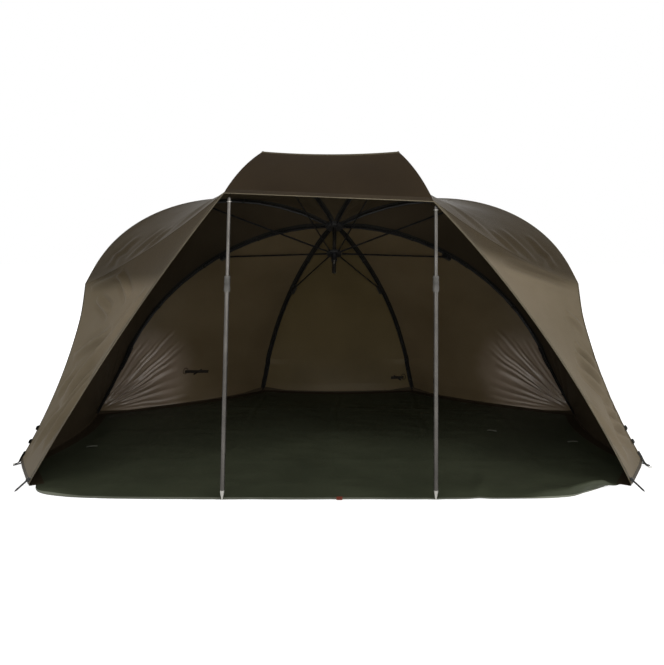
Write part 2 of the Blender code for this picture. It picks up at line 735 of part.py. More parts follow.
def cloth_line(kind, side):
    """Where the cloth lies over a rib, from the crown to the rib's end."""
    upper = upper_path(kind, side)
    line = [hub_point(RIBS[kind]["azimuth"], side, CLOTH_HOLE, 0) - (CROWN_TOP + 2 * GAP) * DOWN]
    rim, _ = along_path(upper, CROWN_RADIUS - PIVOT_RADIUS + RIB_TO_CLOTH / 2)
    line.append(rim + (EYE_RADIUS + RIM_REST_SHARE * RIB_TO_CLOTH) * outward_at(upper, 0))
    for i in range(1, RIB_STEPS + 1):
        outward = outward_at(upper, i)
        if kind not in FEET:
            outward = (outward + CREASE_LEAN * i / RIB_STEPS * Vector((side, 0, 0))).normalized()
        line.append(upper[i] + (RIB_RADIUS + RIB_TO_CLOTH) * outward)
    if kind in FEET:
        lower = lower_path(kind, side)
        corner = (outward_at(upper, len(upper) - 1) + outward_at(lower, 0)).normalized()
        line[-1] = upper[-1] + (KNUCKLE_RADIUS + RIB_TO_CLOTH) * corner
        for i in range(1, len(lower)):
            line.append(lower[i] + (LOWER_RIB_RADIUS + RIB_TO_CLOTH) * outward_at(lower, i))
        rise = 2 * HEM_HEIGHT - line[-1].z
        step = line[-2] - line[-1]
        line[-1] = line[-1] + step * (rise / step.z)
    else:
        end = tangent_at(upper, len(upper) - 1)
        line[-1] = line[-1] + (RIB_RADIUS + RIB_TO_CLOTH) * end
    return line


def openness(a, b):
    """From 0 at the hub, where two ribs meet, to 1 where they stand well apart."""
    return min(1.0, 2 * (a - b).length / HALF_WIDTH) ** 2


def web(first, second, columns, sag):
    """Cloth between two lines: a grid of points that sinks a little between them."""
    grid = []
    for a, b in zip(first, second):
        depth = sag * openness(a, b)
        row = []
        for j in range(columns + 1):
            u = j / columns
            place = a.lerp(b, u)
            inward = (INSIDE - place).normalized()
            row.append(place + depth * 4 * u * (1 - u) * inward)
        grid.append(row)
    return grid


def lower_hem(grid):
    """Brings the last row down to the ground between the ribs' feet and draws it in."""
    for j, place in enumerate(grid[-1]):
        u = j / (len(grid[-1]) - 1)
        swell = 4 * u * (1 - u)
        flat = Vector((place.x - INSIDE.x, place.y - INSIDE.y, 0)).normalized()
        place.z = 2 * HEM_HEIGHT - (2 * HEM_HEIGHT - SHEET - 4 * GAP) * min(1.0, 2 * swell)
        grid[-1][j] = place - swell * HEM_DRAW_IN * flat
    return grid


def trimmed(grid):
    """The grid with its edges drawn in by the seam gap."""
    rows, columns = len(grid) - 1, len(grid[0]) - 1
    old = [[p.copy() for p in row] for row in grid]
    for i in range(rows + 1):
        for j, k in ((0, 1), (columns, columns - 1)):
            step = old[i][k] - old[i][j]
            if step.length > 2 * SEAM_GAP:
                grid[i][j] = grid[i][j] + SEAM_GAP * step.normalized()
    for j in range(columns + 1):
        for i, k in ((0, 1), (rows, rows - 1)):
            step = old[k][j] - old[i][j]
            if step.length > 2 * SEAM_GAP:
                grid[i][j] = grid[i][j] + SEAM_GAP * step.normalized()
    return grid


def make_panel(name, grid, looks, parts):
    grid = trimmed(grid)
    bm = bmesh.new()
    rows = [[bm.verts.new(p) for p in row] for row in grid]
    for a, b in zip(rows, rows[1:]):
        for i in range(len(a) - 1):
            bm.faces.new((a[i], a[i + 1], b[i + 1], b[i]))
    bm.normal_update()
    middle = bm.faces[:][len(bm.faces) // 2]
    if middle.normal.dot(middle.calc_center_median() - INSIDE) < 0:
        bmesh.ops.reverse_faces(bm, faces=bm.faces)
    mesh = bpy.data.meshes.new(name)
    bm.to_mesh(mesh)
    bm.free()
    mesh.shade_smooth()
    mesh.materials.append(looks["cloth"])
    panel = bpy.data.objects.new(name, mesh)
    parts.objects.link(panel)
    solid = panel.modifiers.new("Solidify", "SOLIDIFY")
    solid.thickness = CLOTH
    solid.offset = 1
    solid.use_rim = True


def post_top(side):
    """The visor's lower corner, over a storm pole's head."""
    height = POST_HEIGHT_LEFT if side < 0 else POST_HEIGHT_RIGHT
    return Vector((side * VISOR_FLARE, POST_Y - VISOR_FORWARD, height))


def quadratic(start, middle, end, steps):
    points = []
    for i in range(steps + 1):
        t = i / steps
        points.append((1 - t) * (1 - t) * start + 2 * t * (1 - t) * middle + t * t * end)
    return points


def visor_side(side):
    """From the ridge's end down to the visor's lower corner."""
    start, end = cloth_line("front_centre", side)[-1], post_top(side)
    bulge = Vector((side * VISOR_BULGE.x, VISOR_BULGE.y, VISOR_BULGE.z)) * RIDGE_SAG * 2
    return quadratic(start, start.lerp(end, 0.5) + bulge, end, 4)


def wing_seam(side):
    """From the visor's lower corner to the front rib's knuckle."""
    end = cloth_line("front_side", side)[KNUCKLE_ROW]
    start = post_top(side)
    droop = Vector((0, 0, -2 * WING_FOLD_DEPTH))
    return quadratic(start, start.lerp(end, 0.5) + droop, end, 6)


def opening_edge(side):
    start = post_top(side)
    end = Vector((side * FRONT_CORNER_X, POST_Y + FRONT_CORNER_BACK, HEM_HEIGHT))
    bulge = Vector((side * 2 * WALL_SAG, 0, 0))
    return quadratic(start, start.lerp(end, 0.5) + bulge, end, LOWER_STEPS)


def coons(top, bottom, left, right):
    """A grid that meets four edges: rows run from top to bottom, columns from left to right."""
    rows, columns = len(left) - 1, len(top) - 1
    grid = []
    for i in range(rows + 1):
        v = i / rows
        row = []
        for j in range(columns + 1):
            u = j / columns
            down = top[j].lerp(bottom[j], v)
            across = left[i].lerp(right[i], u)
            first, last = top[0].lerp(top[-1], u), bottom[0].lerp(bottom[-1], u)
            row.append(down + across - first.lerp(last, v))
        grid.append(row)
    return grid


def make_canopy(looks, parts):
    back = {side: cloth_line("back", side) for side in SIDES.values()}
    grid = lower_hem(web(back[-1], back[1], 6, WALL_SAG))
    make_panel("back_panel", grid, looks, parts)
    ridge_rows = {side: cloth_line("front_centre", side) for side in SIDES.values()}
    ridge_columns = 8
    roof = web(ridge_rows[-1], ridge_rows[1], ridge_columns, 0)
    for i, row in enumerate(roof):
        share = (i / (len(roof) - 1)) ** 2
        for j in range(len(row)):
            u = j / ridge_columns
            row[j] = row[j] - Vector((0, 0, RIDGE_SAG * share * 4 * u * (1 - u)))
    ridge = [p.copy() for p in roof[-1]]
    make_panel("front_roof_panel", roof, looks, parts)
    lip = [post_top(-1).lerp(post_top(1), j / ridge_columns) for j in range(ridge_columns + 1)]
    visor = coons(ridge, lip, visor_side(-1), visor_side(1))
    make_panel("visor", visor, looks, parts)
    for word, side in SIDES.items():
        wall = cloth_line("back_side", side)
        front = cloth_line("front_side", side)
        grid = lower_hem(web(back[side], wall, 5, WALL_SAG))
        make_panel(f"{word}_back_side_panel", grid, looks, parts)
        grid = lower_hem(web(wall, front, 5, WALL_SAG))
        make_panel(f"{word}_side_panel", grid, looks, parts)
        upper = front[: KNUCKLE_ROW + 1]
        edge = visor_side(side) + wing_seam(side)[1:]
        columns = len(edge) - 1
        grid = []
        for i, (a, b) in enumerate(zip(ridge_rows[side], upper)):
            share = (i / (len(upper) - 1)) ** 2
            row = []
            for j in range(columns + 1):
                u = j / columns
                plain = a.lerp(b, u)
                last = ridge_rows[side][-1].lerp(upper[-1], u)
                sink = ROOF_SAG * 4 * u * (1 - u) * (1 - share) * openness(a, b)
                inward = (INSIDE - plain).normalized()
                row.append(plain + share * (edge[j] - last) + sink * inward)
            grid.append(row)
        make_panel(f"{word}_roof_panel", grid, looks, parts)
        seam, opening = wing_seam(side), opening_edge(side)
        lower = front[KNUCKLE_ROW:]
        hem = [opening[-1].lerp(lower[-1], j / 6) for j in range(7)]
        for j in range(1, 6):
            hem[j].z = SHEET + 4 * GAP
        make_panel(f"{word}_wing_panel", coons(seam, hem, opening, lower), looks, parts)


# Things on the ground


def make_groundsheet(looks, parts):
    inset = SHEET_INSET
    half = [(SHEET_FRONT_HALF, SHEET_FRONT_BACK)]
    half += [(FRONT_CORNER_X - 4 * inset, FRONT_CORNER_BACK - 2 * inset)]
    half += [(FRONT_CORNER_X - inset, FRONT_CORNER_BACK + inset)]
    half += [(HALF_WIDTH - inset, FRONT_FOOT_BACK + inset), (SIDE_FOOT_X - inset, SIDE_FOOT_BACK - inset)]
    half += [(BACK_FOOT_X - inset * 0.4, BACK_FOOT_BACK - inset)]
    outline = half + [(-x, back) for x, back in reversed(half)]
    data = bpy.data.curves.new("groundsheet", "CURVE")
    data.dimensions = "2D"
    data.fill_mode = "BOTH"
    data.extrude = SHEET / 2
    spline = data.splines.new("POLY")
    spline.points.add(len(outline) - 1)
    for point, (x, back) in zip(spline.points, outline):
        point.co = (x, POST_Y + back, 0, 1)
    spline.use_cyclic_u = True
    sheet = bpy.data.objects.new("groundsheet", data)
    sheet.location.z = SHEET / 2
    parts.objects.link(sheet)
    baked(sheet, parts, looks["groundsheet"])


def make_corner_peg(word, side, looks, parts):
    out = Vector((side * PEG_OUT[0], PEG_OUT[1], 0)).normalized()
    corner = Vector((side * FRONT_CORNER_X, POST_Y + FRONT_CORNER_BACK, 0)) + PEG_STANDOFF * out
    high = corner + Vector((0, 0, 2 * HEM_HEIGHT + PEG_RADIUS))
    low = corner + PEG_REACH_SHARE * PEG_LENGTH * out + Vector((0, 0, PEG_POINT_SHARE * PEG_RADIUS))
    head = high + (high - low).normalized() * PEG_HEAD_LENGTH
    points = [head, high.lerp(head, 0.1), high, low.lerp(high, 0.15), low]
    knob, point = PEG_HEAD_SHARE * PEG_HEAD_RADIUS, PEG_POINT_SHARE * PEG_RADIUS
    radii = [knob, knob, PEG_RADIUS, PEG_RADIUS, point]
    tube_mesh(f"{word}_corner_peg", points, PEG_RADIUS, looks["moulding"], parts, radii)


def make_storm_pole(word, side, looks, parts):
    foot_at = Vector((side * POST_X, POST_Y, 0))
    lean = Vector((-side * POST_LEAN if side < 0 else 0, 0, 1)).normalized()
    matrix = frame_matrix(foot_at, lean, Vector((1, 0, 0)))
    socket = SPIKE_HEIGHT
    head = (POST_HEIGHT_LEFT if side < 0 else POST_HEIGHT_RIGHT) - POST_CAP_DROP
    tube = [(POST_BORE, POST_COLLAR_HEIGHT), (POST_RADIUS, POST_COLLAR_HEIGHT)]
    tube += [(POST_RADIUS, socket + GAP), (POST_BORE, socket + GAP)]
    turned(f"{word}_storm_pole_lower", tube, matrix, looks["pole"], parts, steps=16)
    point = [(0, socket + SPIKE_PLUG), (POST_BORE - GAP, socket + SPIKE_PLUG), (POST_BORE - GAP, socket)]
    point += [(POST_RADIUS, socket), (POST_RADIUS, socket * 0.8), (POST_RADIUS * 0.55, socket * 0.35)]
    point += [(SPIKE_TIP_RADIUS, GAP), (0, GAP)]
    turned(f"{word}_storm_pole_spike", point, matrix, looks["pale_metal"], parts, steps=16)
    base, top = POST_COLLAR_HEIGHT, POST_COLLAR_HEIGHT + COLLAR_LENGTH
    step, snug = base + GAP, POST_UPPER_RADIUS + GAP
    collar, skirt = [(snug, top), (COLLAR_WAIST, top)], base - COLLAR_SKIRT_SHARE * COLLAR_LENGTH
    for down, proud in COLLAR_SHARES:
        collar.append((COLLAR_RADIUS if proud else COLLAR_WAIST, top - down * COLLAR_LENGTH))
    collar += [(COLLAR_RADIUS, skirt), (POST_RADIUS + GAP, skirt)]
    collar += [(POST_RADIUS + GAP, step), (snug, step)]
    turned(f"{word}_pole_collar", collar, matrix, looks["moulding"], parts, steps=16)
    bottom = POST_COLLAR_HEIGHT - POST_OVERLAP
    upper = [(0, head), (POST_UPPER_RADIUS * 0.7, head - POST_CAP_DROP * 0.1)]
    upper += [(POST_UPPER_RADIUS, head - POST_CAP_DROP * 0.4), (POST_UPPER_RADIUS, bottom), (0, bottom)]
    turned(f"{word}_storm_pole_upper", upper, matrix, looks["pole"], parts, steps=16)


# Assembly


def main():
    clear_scene()
    scene = bpy.context.scene
    parts = bpy.data.collections.new("fishing_umbrella")
    cutters = bpy.data.collections.new("cutters")
    scene.collection.children.link(parts)
    scene.collection.children.link(cutters)
    looks = {
        "cloth": material("canopy_cloth", (0.085, 0.072, 0.048), 0.75),
        "groundsheet": material("groundsheet_cloth", (0.020, 0.026, 0.014), 0.7),
        "moulding": material("black_moulding", (0.012, 0.012, 0.012), 0.5),
        "rib": material("rib_black", (0.015, 0.014, 0.013), 0.4),
        "pole": material("gunmetal_tube", (0.11, 0.105, 0.10), 0.35, 0.9),
        "pale_metal": material("pale_metal", (0.55, 0.55, 0.55), 0.35, 1.0),
    }
    make_crown(looks, parts, cutters)
    make_pole(looks, parts, cutters)
    make_runner(looks, parts, cutters)
    for kind in RIBS:
        for word, side in SIDES.items():
            make_upper_rib(word, side, kind, looks, parts, cutters)
            make_block(word, side, kind, looks, parts, cutters)
            make_stretcher(word, side, kind, looks, parts)
            if kind in FEET:
                make_lower_rib(word, side, kind, looks, parts, cutters)
    make_canopy(looks, parts)
    make_groundsheet(looks, parts)
    for word, side in SIDES.items():
        make_corner_peg(word, side, looks, parts)
        make_storm_pole(word, side, looks, parts)


main()
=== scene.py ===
"""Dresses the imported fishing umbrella: cloth, seams, bindings, fittings, materials, floor and light.

Everything is in metres in the part's own frame: +Z up, the open front towards -Y. The cloth is
built on the same lines as the solids it replaces, and each piece rides on the rib that carries it.
"""

import math

import bmesh
import bpy
import numpy as np
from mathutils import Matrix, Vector, noise


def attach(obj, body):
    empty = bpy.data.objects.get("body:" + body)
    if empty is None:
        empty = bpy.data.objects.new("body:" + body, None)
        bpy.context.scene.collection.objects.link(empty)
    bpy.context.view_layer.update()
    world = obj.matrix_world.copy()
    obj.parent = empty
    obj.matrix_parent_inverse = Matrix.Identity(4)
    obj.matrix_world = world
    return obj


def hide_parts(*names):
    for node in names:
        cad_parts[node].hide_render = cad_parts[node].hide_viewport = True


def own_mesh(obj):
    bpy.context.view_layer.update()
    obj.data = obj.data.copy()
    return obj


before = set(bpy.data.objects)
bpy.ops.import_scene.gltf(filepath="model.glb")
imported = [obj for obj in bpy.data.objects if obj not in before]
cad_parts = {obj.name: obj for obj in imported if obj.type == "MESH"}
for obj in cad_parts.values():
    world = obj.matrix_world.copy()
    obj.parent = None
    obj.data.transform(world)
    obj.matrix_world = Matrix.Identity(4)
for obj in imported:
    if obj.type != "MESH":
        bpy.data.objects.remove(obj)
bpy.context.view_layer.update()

# Sizes shared with the solids. Dictionaries keyed -1 and 1 hold the left and the right side.

FLOOR_DEPTH = 1.780
HALF_WIDTH = 1.410
FRONT_CORNER = (1.262, 0.135)
HEM_HEIGHT = 0.012
HEM_DRAW_IN = 0.035
HUB_HEIGHT = 1.090
HUB_BACK = 0.950
POLE_TILT = math.radians(26.0)
PIVOT_RADIUS = 0.042
CROWN_RADIUS = 0.048
CROWN_TOP = 0.0072
CLOTH_HOLE = 0.0212
EYE_RADIUS = 0.0052
RIB_RADIUS = 0.0062
LOWER_RIB_RADIUS = 0.0050
KNUCKLE_RADIUS = 0.0125
RIB_TO_CLOTH = 0.0070
CREASE_LEAN = 0.68
GAP = 0.0003
RIDGE_SAG = 0.012
VISOR_FLARE = 0.415
VISOR_FORWARD = 0.016
POST_HEIGHTS = {-1: 1.226, 1: 1.192}
WING_FOLD_DEPTH = 0.030
WALL_SAG = 0.020
OPENING_BOW = {-1: 0.068, 1: 0.135}
OPENING_BOW_PLACE = 0.42
ROOF_SAG = 0.022
GROUNDSHEET = 0.0030
SHEET_INSET = 0.030
SHEET_FRONT_BACK = 0.0022
SHEET_FRONT_HALF = 0.430
POST_X = 0.427
RIBS = {
    "front_centre": dict(azimuth=math.radians(160.3), reach=0.832, drop=0.037),
    "front_side": dict(azimuth=math.radians(107.0), reach=1.170, drop=0.470),
    "back_side": dict(azimuth=math.radians(66.0), reach=1.280, drop=0.530),
    "back": dict(azimuth=math.radians(22.4), reach=1.170, drop=0.450),
}
ARC_SHARES = {
    "front_centre": ((0.36, -0.072), (0.72, -0.060)),
    "front_side": ((0.47, -0.170), (0.94, 0.026)),
    "back_side": ((0.39, -0.070), (0.845, 0.078)),
    "back": ((0.385, 0.017), (0.81, 0.103)),
}
FEET = {"front_side": (HALF_WIDTH, 0.394), "back_side": (1.367, 1.200), "back": (0.489, 1.765)}
LOWER_BOW_SHARES = {"front_side": 0.10, "back_side": 0.02, "back": 0.02}
RIB_STEPS = 12
LOWER_STEPS = 6
SIDES = {"left": -1, "right": 1}

# Sizes of the dressing, and the numbers of steps between the solids' own points

CLOTH = 0.0012
LAYER_LIFT = 0.0004
FINE = 8
LOWER_FINE = 16
VISOR_STEPS = 24
SEAM_STEPS = 60
SEAM_HALF_WIDTH = 0.0065
SEAM_RISE = 0.0014
HEM_CURVE = 2.2
HEM_END_CURVE = 6
SLEEVE_HALF_WIDTH = 0.016
SKIRT_INWARDS = 0.060
SKIRT_HEIGHT = 0.0045
SKIRT_LAP = 0.006
PIPING_RADIUS = 0.0022

POST_Y = -FLOOR_DEPTH / 2
HUB = Vector((0, POST_Y + HUB_BACK, HUB_HEIGHT))
DOWN = Vector((0, -math.sin(POLE_TILT), -math.cos(POLE_TILT)))
BACK = Vector((0, math.cos(POLE_TILT), -math.sin(POLE_TILT)))
INSIDE = Vector((0, HUB.y, HUB_HEIGHT * 0.3))
FULL_OFFSET = RIB_RADIUS + RIB_TO_CLOTH
LOW_HEM = GROUNDSHEET + 4 * GAP


# Lines of the frame, as the solids have them


def radial(kind, side):
    azimuth = RIBS[kind]["azimuth"]
    return Vector((side * math.sin(azimuth), 0, 0)) + math.cos(azimuth) * BACK


def hub_point(kind, side, reach, drop):
    return HUB + reach * radial(kind, side) + drop * DOWN


def cubic(points, t):
    a, b, c, d = points
    s = 1 - t
    return s * s * s * a + 3 * s * s * t * b + 3 * s * t * t * c + t * t * t * d


def quadratic(start, middle, end, steps):
    made = []
    for i in range(steps + 1):
        t = i / steps
        made.append((1 - t) * (1 - t) * start + 2 * t * (1 - t) * middle + t * t * end)
    return made


def upper_path(kind, side, steps=RIB_STEPS):
    rib, (first, second) = RIBS[kind], ARC_SHARES[kind]
    reach = rib["reach"]
    flat = [(PIVOT_RADIUS, 0), (first[0] * reach, first[1] * reach)]
    flat += [(second[0] * reach, second[1] * reach), (reach, rib["drop"])]
    controls = [hub_point(kind, side, r, w) for r, w in flat]
    return [cubic(controls, i / steps) for i in range(steps + 1)]


def knuckle(kind, side):
    return hub_point(kind, side, RIBS[kind]["reach"], RIBS[kind]["drop"])


def foot(kind, side):
    x, back = FEET[kind]
    return Vector((side * x, POST_Y + back, HEM_HEIGHT))


def lower_path(kind, side, steps=LOWER_STEPS):
    start, end = knuckle(kind, side), foot(kind, side)
    bow = LOWER_BOW_SHARES[kind] * (end - start).length
    middle = start.lerp(end, 0.5) - Vector((side * bow, 0, 0))
    return quadratic(start, middle, end, steps)


def tangent_at(path, i):
    return (path[min(i + 1, len(path) - 1)] - path[max(i - 1, 0)]).normalized()


def outward_at(path, i):
    along = tangent_at(path, i)
    away = path[i] - INSIDE
    return (away - away.dot(along) * along).normalized()


def along_path(path, distance):
    for a, b in zip(path, path[1:]):
        step = (b - a).length
        if distance <= step:
            return a.lerp(b, distance / step)
        distance -= step
    return path[-1].copy()


def rounded(points, per=FINE):
    """A smooth line through the points, with so many steps between each pair."""
    made = []
    for i in range(len(points) - 1):
        a, b = points[max(i - 1, 0)], points[i]
        c, d = points[i + 1], points[min(i + 2, len(points) - 1)]
        for k in range(per):
            t = k / per
            made.append(
                0.5 * (2 * b + (c - a) * t + (2 * a - 5 * b + 4 * c - d) * t * t
                       + (3 * b - a - 3 * c + d) * t * t * t)
            )
    made.append(points[-1].copy())
    return made


def cloth_line(kind, side):
    """The seam line over a rib: (points down to the knee or tip, points from the knee to the hem)."""
    upper = upper_path(kind, side)
    line = [hub_point(kind, side, CLOTH_HOLE, 0) - (CROWN_TOP + 2 * GAP) * DOWN]
    rim = along_path(upper, CROWN_RADIUS - PIVOT_RADIUS + RIB_TO_CLOTH / 2)
    line.append(rim + (EYE_RADIUS + RIB_TO_CLOTH * 0.42) * outward_at(upper, 0))
    for i in range(1, RIB_STEPS + 1):
        outward = outward_at(upper, i)
        if kind not in FEET:
            outward = (outward + CREASE_LEAN * i / RIB_STEPS * Vector((side, 0, 0))).normalized()
        line.append(upper[i] + FULL_OFFSET * outward)
    if kind not in FEET:
        line[-1] = line[-1] + FULL_OFFSET * tangent_at(upper, RIB_STEPS)
        return rounded(line), []
    lower = lower_path(kind, side)
    corner = (outward_at(upper, RIB_STEPS) + outward_at(lower, 0)).normalized()
    line[-1] = upper[-1] + (KNUCKLE_RADIUS + RIB_TO_CLOTH) * corner
    wall = [line[-1]]
    for i in range(1, LOWER_STEPS + 1):
        wall.append(lower[i] + (LOWER_RIB_RADIUS + RIB_TO_CLOTH) * outward_at(lower, i))
    step = wall[-2] - wall[-1]
    wall[-1] = wall[-1] + step * ((2 * HEM_HEIGHT - wall[-1].z) / step.z)
    return rounded(line), rounded(wall, LOWER_FINE)


# Sheets of cloth as grids of points: rows run from the hub down, columns across


def grid_of(rows):
    return np.array([[tuple(p) for p in row] for row in rows], float)


def openness(a, b):
    """How much room the cloth has to sag between two points: 0 when they meet, 1 when far apart."""
    return min(1.0, 2 * (a - b).length / HALF_WIDTH) ** 2


def web(first, second, columns, sag):
    """Rows between two lines, which sag inwards where the lines are far apart."""
    rows = []
    for a, b in zip(first, second):
        depth = sag * openness(a, b)
        row = []
        for j in range(columns + 1):
            u = j / columns
            place = a.lerp(b, u)
            row.append(place + depth * 4 * u * (1 - u) * (INSIDE - place).normalized())
        rows.append(row)
    return rows


def lowered(rows):
    """Brings the last rows down to the ground between the feet, and draws the hem in."""
    columns = len(rows[-1]) - 1
    for j in range(columns + 1):
        u, place = j / columns, rows[-1][j].copy()
        swell = 4 * u * (1 - u)
        flat = Vector((place.x - INSIDE.x, place.y - INSIDE.y, 0)).normalized()
        low = 2 * HEM_HEIGHT - (2 * HEM_HEIGHT - LOW_HEM) * min(1.0, 2 * swell)
        shift = Vector((0, 0, low - place.z)) - swell * HEM_DRAW_IN * flat
        for i in range(1, len(rows)):
            rows[i][j] = rows[i][j] + shift * (i / (len(rows) - 1)) ** HEM_CURVE
    return rows


def post_top(side):
    return Vector((side * VISOR_FLARE, POST_Y - VISOR_FORWARD, POST_HEIGHTS[side]))


def visor_side(side):
    start, end = cloth_line("front_centre", side)[0][-1], post_top(side)
    bulge = Vector((side * 0.6, -0.2, 1)) * RIDGE_SAG * 2
    return quadratic(start, start.lerp(end, 0.5) + bulge, end, VISOR_STEPS)


def wing_seam(side, steps=SEAM_STEPS):
    start, end = post_top(side), cloth_line("front_side", side)[0][-1]
    droop = Vector((0, 0, -2 * WING_FOLD_DEPTH))
    return quadratic(start, start.lerp(end, 0.5) + droop, end, steps)


def opening_edge(side, steps):
    start = post_top(side)
    end = Vector((side * FRONT_CORNER[0], POST_Y + FRONT_CORNER[1], HEM_HEIGHT))
    middle = start.lerp(end, OPENING_BOW_PLACE) + Vector((side * OPENING_BOW[side], 0, 0))
    return quadratic(start, middle, end, steps)


def coons(top, bottom, left, right):
    """A surface between four edges, as rows from the top one to the bottom one."""
    rows = []
    for i in range(len(left)):
        v = i / (len(left) - 1)
        row = []
        for j in range(len(top)):
            u = j / (len(top) - 1)
            down, across = top[j].lerp(bottom[j], v), left[i].lerp(right[i], u)
            ends = top[0].lerp(top[-1], u).lerp(bottom[0].lerp(bottom[-1], u), v)
            row.append(down + across - ends)
        rows.append(row)
    return rows


def roof_rows(side):
    ridge, (upper, _) = cloth_line("front_centre", side)[0], cloth_line("front_side", side)
    edge = visor_side(side) + wing_seam(side)[1:]
    columns, rows = len(edge) - 1, []
    for i, (a, b) in enumerate(zip(ridge, upper)):
        share = (i / (len(upper) - 1)) ** 2
        row = []
        for j in range(columns + 1):
            u = j / columns
            plain, last = a.lerp(b, u), ridge[-1].lerp(upper[-1], u)
            sink = ROOF_SAG * 4 * u * (1 - u) * (1 - share) * openness(a, b)
            row.append(plain + share * (edge[j] - last) + sink * (INSIDE - plain).normalized())
        rows.append(row)
    return rows


def front_roof_rows(columns):
    rows = web(cloth_line("front_centre", -1)[0], cloth_line("front_centre", 1)[0], columns, 0)
    for i, row in enumerate(rows):
        share = (i / (len(rows) - 1)) ** 2
        for j in range(columns + 1):
            u = j / columns
            row[j] = row[j] - Vector((0, 0, RIDGE_SAG * share * 4 * u * (1 - u)))
    return rows


def wing_rows(side):
    seam, wall = wing_seam(side, 2 * SEAM_STEPS), cloth_line("front_side", side)[1]
    opening = opening_edge(side, len(wall) - 1)
    count = len(seam) - 1
    hem = [opening[-1].lerp(wall[-1], j / count) for j in range(count + 1)]
    for j in range(1, count):
        rise = min(1.0, abs(2 * j / count - 1) ** HEM_END_CURVE)
        hem[j].z = LOW_HEM * (1 - rise) + hem[j].z * rise
    return coons(seam, hem, opening, wall)


# The gores in order round the hub, so that the canopy is one continuous sheet

LINES = {(word, kind): cloth_line(kind, side) for word, side in SIDES.items() for kind in RIBS}
GORE_COLUMNS = 48
UPPER_ROWS = len(LINES["left", "back"][0])
# The length above and below the knees over which the cloth turns
KNEE_ABOVE = 0.22
KNEE_BELOW = 0.26


def eased(grid):
    """The cloth bends sharply only at the ribs: between them it turns in one smooth curve."""
    columns, knee = grid.shape[1], UPPER_ROWS - 1
    smooth = grid.copy()
    for j in range(columns):
        line = grid[:, j]
        steps = np.linalg.norm(np.diff(line, axis=0), axis=1)
        along = np.concatenate([[0], steps.cumsum()])
        along -= along[knee]
        first, last = np.searchsorted(along, (-KNEE_ABOVE, min(KNEE_BELOW, 0.7 * along[-1])))
        span = along[last] - along[first]
        a, b = line[first], line[last]
        start = (a - line[first - 1]) / steps[first - 1] * span
        end = (line[last + 1] - b) / steps[last] * span
        t = ((along[first:last + 1] - along[first]) / span)[:, None]
        smooth[first:last + 1, j] = (
            (2 * t ** 3 - 3 * t ** 2 + 1) * a + (t ** 3 - 2 * t ** 2 + t) * start
            + (3 * t ** 2 - 2 * t ** 3) * b + (t ** 3 - t ** 2) * end
        )
    u = np.linspace(0, 1, columns)[None, :]
    held = np.clip(6 * u * (1 - u), 0, 1) * np.clip(40 * u * (1 - u) - 0.2, 0, 1)
    return grid + held[:, :, None] * (smooth - grid)


def gore(first, second, columns):
    """Rows from the hub to the knees, then from the knees to the hem."""
    rows = web(LINES[first][0], LINES[second][0], columns, WALL_SAG)
    rows += lowered(web(LINES[first][1], LINES[second][1], columns, WALL_SAG))[1:]
    return eased(grid_of(rows))


GORES = {
    "front_roof": grid_of(front_roof_rows(GORE_COLUMNS)),
    "right_roof": grid_of(roof_rows(1)),
    "right_side": gore(("right", "front_side"), ("right", "back_side"), GORE_COLUMNS),
    "right_back_side": gore(("right", "back_side"), ("right", "back"), 3 * GORE_COLUMNS),
    "back": gore(("right", "back"), ("left", "back"), GORE_COLUMNS),
    "left_back_side": gore(("left", "back"), ("left", "back_side"), 3 * GORE_COLUMNS),
    "left_side": gore(("left", "back_side"), ("left", "front_side"), GORE_COLUMNS),
    "left_roof": grid_of(roof_rows(-1))[:, ::-1],
}
WINGS = {"right_wing": grid_of(wing_rows(1)), "left_wing": grid_of(wing_rows(-1))[:, ::-1]}


def normals_of(grid):
    """Unit normals that point away from the shelter."""
    down, across = np.gradient(grid, axis=0), np.gradient(grid, axis=1)
    normals = np.cross(down, across)
    normals /= np.maximum(np.linalg.norm(normals, axis=2, keepdims=True), 1e-12)
    outside = np.sum(normals * (grid - np.array(INSIDE)), axis=2).mean()
    return normals if outside > 0 else -normals


def noise_at(points, size, seed):
    """Smooth noise at each point of a grid, with features about as large as size."""
    flat = points.reshape(-1, 3) / size + seed
    values = [noise.noise(Vector(p)) for p in flat]
    return np.array(values).reshape(points.shape[:2])


def shares(grid):
    """How far across and how far down each point of a grid is, from 0 to 1."""
    rows, columns = grid.shape[:2]
    u, v = np.linspace(0, 1, columns)[None, :], np.linspace(0, 1, rows)[:, None]
    return u + 0 * v, v + 0 * u


def place_on(grid, column, row):
    """The point of a grid at shares of its columns and rows."""
    rows, columns = grid.shape[:2]
    return grid[round(row * (rows - 1)), round(column * (columns - 1))]


# Creases: the least widths that the grids can carry, the distance over which a fan's creases swell,
# the share of their length at which they have died out, and the turn by which they waver
THINNEST_CREASE = 0.008
THINNEST_FOLD = 0.016
FAN_SWELL = 0.12
FAN_END = 1.15
FAN_WAVER = 1.4


